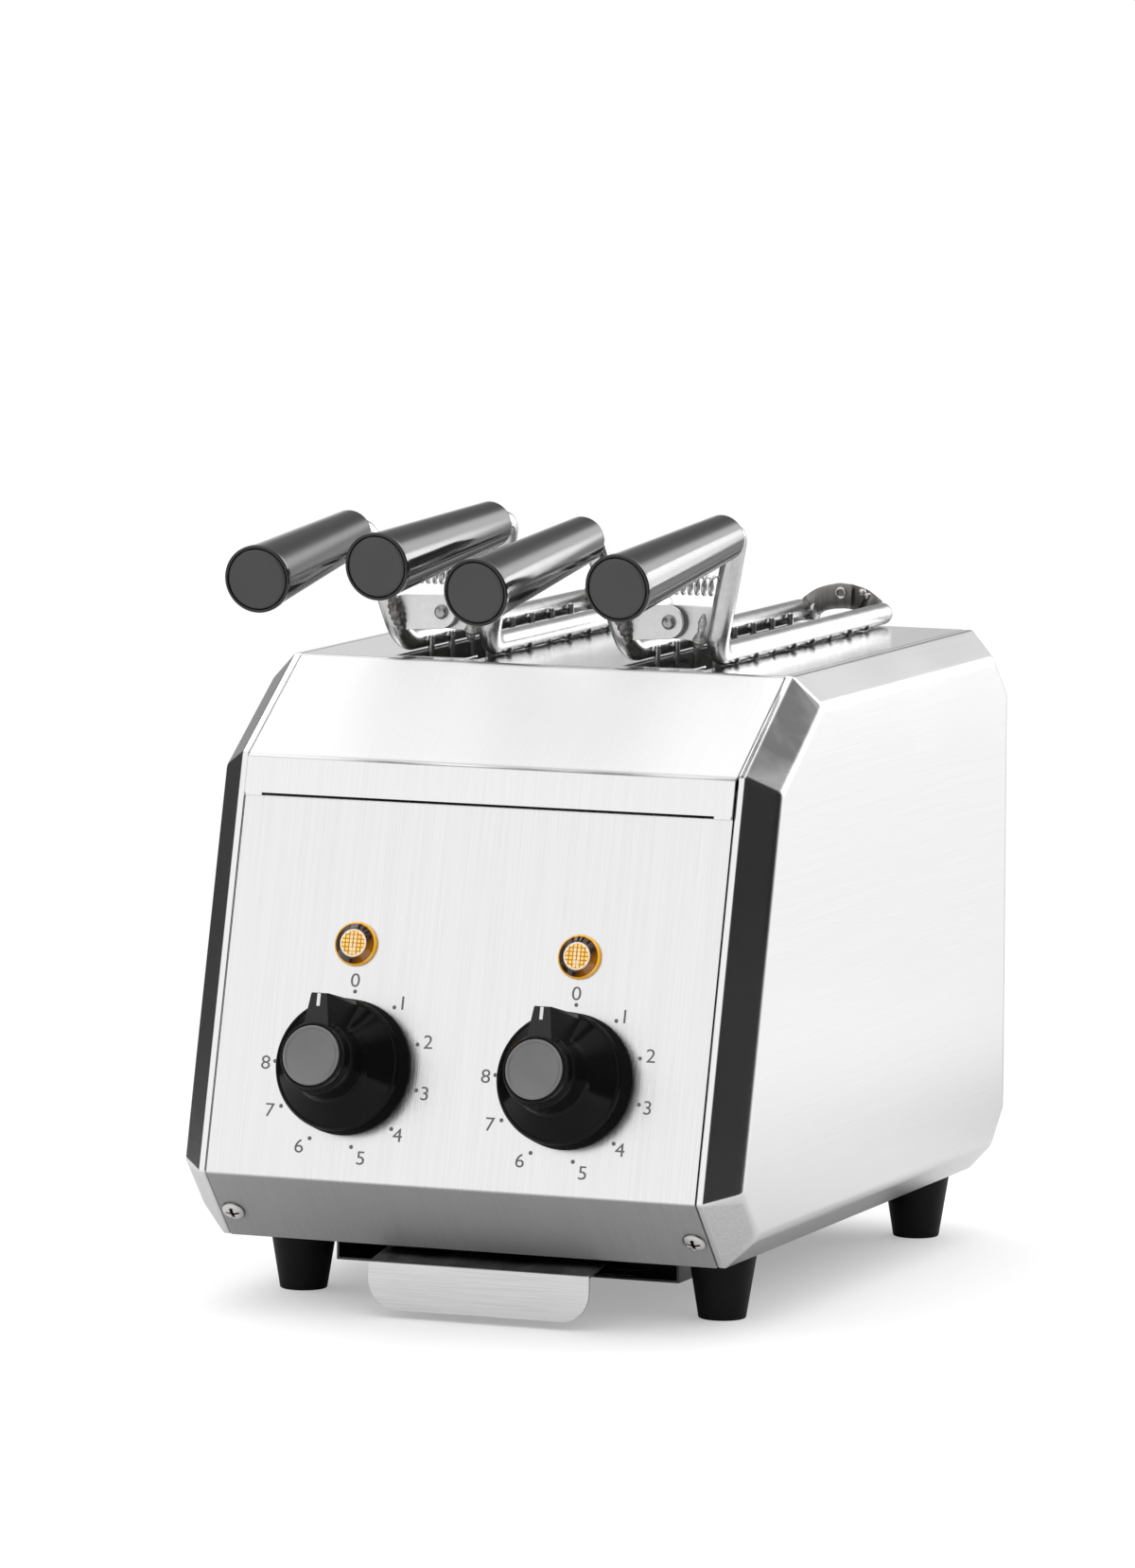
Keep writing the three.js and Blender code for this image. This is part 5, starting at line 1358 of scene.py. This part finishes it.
class TOASTER_OT_stage(bpy.types.Operator):
    """Makes the floor, the studio's light and the camera"""
    bl_idname = "toaster.stage"
    bl_label = "Stage"

    def execute(self, context):
        studio = sizes(context, "toaster_studio")
        self.camera(context)
        self.floor(studio)
        self.light(context, studio)
        return {"FINISHED"}

    def camera(self, context):
        a, e = CAMERA_AZIMUTH, CAMERA_HEIGHT
        back = np.array([sin(a) * cos(e), -cos(a) * cos(e), sin(e)])
        right = np.array([cos(a), sin(a), 0])
        up = np.cross(back, right)
        c, s = cos(CAMERA_ROLL), sin(CAMERA_ROLL)
        right, up = c * right + s * up, c * up - s * right
        camera = bpy.data.objects.new("camera", bpy.data.cameras.new("camera"))
        camera.data.sensor_fit = "VERTICAL"
        camera.data.sensor_height = SENSOR
        camera.data.lens = FOCAL_PIXELS / FRAME_HEIGHT * SENSOR
        camera.data.clip_end = 100
        camera.matrix_world = Matrix.Translation(at(CAMERA_PLACE).tolist()) @ look_along(right, up, back)
        context.scene.collection.objects.link(camera)
        context.scene.camera = camera

    def floor(self, studio):
        """Rings of a disc just under the feet. It is a pale grey one for everything but the camera, fades
        out towards its rim, and burns out to white in the picture."""
        floor = Surface("floor_pale", Roughness=0.9, Specular_IOR_Level=0.1, Emission_Strength=1.0)
        x, y = floor.parts(floor.place())[:2]
        far = (x * x + y * y) ** 0.5
        speck = floor.noise(floor.place(), 60.0, 3.0)
        fade = far.rise(0.26, 0.62)
        back = y.rise(0.2, 0.4) * x.rise(0.3, 0.12)
        tint = tuple(studio.floor)
        seen = floor.node("ShaderNodeLightPath", output=0)
        near = floor.mix(seen, times(tint, 0.9), floor.shades(speck, tint, 0.99))
        lit = floor.mix(seen, grey(0), grey(0.34))
        far_lit = floor.mix(back * (1 - seen), grey(1), grey(0.25))
        floor.feed(
            Base_Color=floor.mix(fade, near, grey(0)),
            Emission_Color=floor.mix(fade, lit, far_lit),
            Normal=floor.bump(speck, 0.0001, 0.1),
        )
        r = np.array([0, 0.15, 0.3, 0.45, 0.6, 0.8]) / MM
        points, quads = turned(np.column_stack([r, np.full(len(r), -0.05)]), 96)
        mesh = bpy.data.meshes.new("floor")
        mesh.from_pydata((points * MM).tolist(), [], quads.tolist())
        close(mesh, upward=True)
        mesh.materials.append(floor.material)
        obj = bpy.data.objects.new("floor", mesh)
        bpy.context.scene.collection.objects.link(obj)

    def light(self, context, studio):
        """A white studio all round. Two dark cards stand at its sides, a dim gap is left over the backdrop
        and a dim stretch behind, and one strip is brighter, so that steel and gloss have something to show.
        The camera meets none of them."""
        world = bpy.data.worlds.new("studio")
        world.use_nodes = True
        context.scene.world = world
        sky = Nodes(world.node_tree)
        x, y, z = sky.parts(sky.node("ShaderNodeTexCoord", output=0))
        level = (x * x + y * y).most(0.0001) ** 0.5

        def facing(azimuth, wide, narrow):
            """1 within narrow degrees of the azimuth, and 0 past wide degrees."""
            a = radians(azimuth)
            return ((x * cos(a) + y * sin(a)) / level).rise(cos(radians(wide)), cos(radians(narrow)))

        def near(direction, wide, narrow):
            """1 within narrow degrees of the direction, and 0 past wide degrees."""
            d = np.array(direction) / np.linalg.norm(direction)
            return (x * d[0] + y * d[1] + z * d[2]).rise(cos(radians(wide)), cos(radians(narrow)))

        right_card = facing(-16, 70, 34) * z.rise(0.97, 0.66)
        left_card = facing(165, 56, 22) * z.rise(0.75, 0.4)
        gap = near((-0.149, 0.939, 0.309), 22, 7)
        behind = facing(112, 38, 26) * z.rise(-0.02, -0.14)
        strip = near((0.464, 0.803, 0.375), 23, 8) * z.rise(0.0, 0.12)
        dark = (1 - 0.99 * right_card) * (1 - 0.96 * left_card)
        dark = dark * (1 - 0.7 * gap) * (1 - 0.65 * behind) * (1 + 2.4 * strip)
        camera = sky.node("ShaderNodeLightPath", output=0)
        glossy = sky.node("ShaderNodeLightPath", output=3)
        through = sky.node("ShaderNodeLightPath", output=6)
        seen = (camera + glossy + through).least(1.0)
        soft = z.rise(-0.2, 0.9, 0.55, 1.53)
        strength = camera + (1 - camera) * (seen * dark + (1 - seen) * soft)
        output = sky.tree.nodes.new("ShaderNodeOutputWorld")
        background = sky.node("ShaderNodeBackground", {}, {"Color": (1, 1, 1, 1), "Strength": strength})
        sky.tree.links.new(background.socket, output.inputs["Surface"])
        for name, place, aim, size, power in (
            ("top_softbox", (-0.85, 0.6, 2.0), (0, 0, 0.12), (1.5, 1.5), studio.key),
            ("edge_softbox", (0.6, 0.9, 0.38), (0, -0.1, 0.3), (0.3, 0.44), studio.edge),
        ):
            lamp = bpy.data.lights.new(name, "AREA")
            lamp.shape = "RECTANGLE"
            lamp.size, lamp.size_y = size
            lamp.energy = power
            obj = bpy.data.objects.new(name, lamp)
            obj.visible_diffuse = name != "edge_softbox"
            place = np.array(place)
            back = place - aim
            back /= np.linalg.norm(back)
            side = np.cross((0, 0, 1), back)
            side /= np.linalg.norm(side)
            turn = look_along(side, np.cross(back, side), back)
            obj.matrix_world = Matrix.Translation(place.tolist()) @ turn
            context.scene.collection.objects.link(obj)
        context.scene.view_settings.view_transform = "Standard"


class TOASTER_PT_panel(bpy.types.Panel):
    """Lists the toaster's pieces and settings"""
    bl_idname = "TOASTER_PT_panel"
    bl_label = "Sandwich toaster"
    bl_space_type = "VIEW_3D"
    bl_region_type = "UI"
    bl_category = "Toaster"

    def draw(self, context):
        for group in GROUPS:
            box = self.layout.box()
            for key in GROUPS[group].__annotations__:
                box.prop(getattr(context.scene, group), key)
        for operator in STEPS:
            self.layout.operator(operator.bl_idname)


GROUPS = {
    "toaster_body": ToasterBody, "toaster_dials": ToasterDials,
    "toaster_tongs": ToasterTongs, "toaster_studio": ToasterStudio,
}
STEPS = [
    TOASTER_OT_finishes, TOASTER_OT_stage, TOASTER_OT_side_panels, TOASTER_OT_front_panel,
    TOASTER_OT_top_cover, TOASTER_OT_feet, TOASTER_OT_screws, TOASTER_OT_dials, TOASTER_OT_lamps,
    TOASTER_OT_dial_print, TOASTER_OT_tong_tubes, TOASTER_OT_grips, TOASTER_OT_grids,
    TOASTER_OT_pivots,
]


def register():
    for group, kind in GROUPS.items():
        bpy.utils.register_class(kind)
        setattr(bpy.types.Scene, group, PointerProperty(type=kind))
    for kind in STEPS + [TOASTER_PT_panel]:
        bpy.utils.register_class(kind)


def unregister():
    for kind in reversed(STEPS + [TOASTER_PT_panel]):
        bpy.utils.unregister_class(kind)
    for group, kind in reversed(list(GROUPS.items())):
        delattr(bpy.types.Scene, group)
        bpy.utils.unregister_class(kind)


def main():
    register()
    for operator in STEPS:
        family, name = operator.bl_idname.split(".")
        getattr(getattr(bpy.ops, family), name)()


if __name__ == "__main__":
    main()
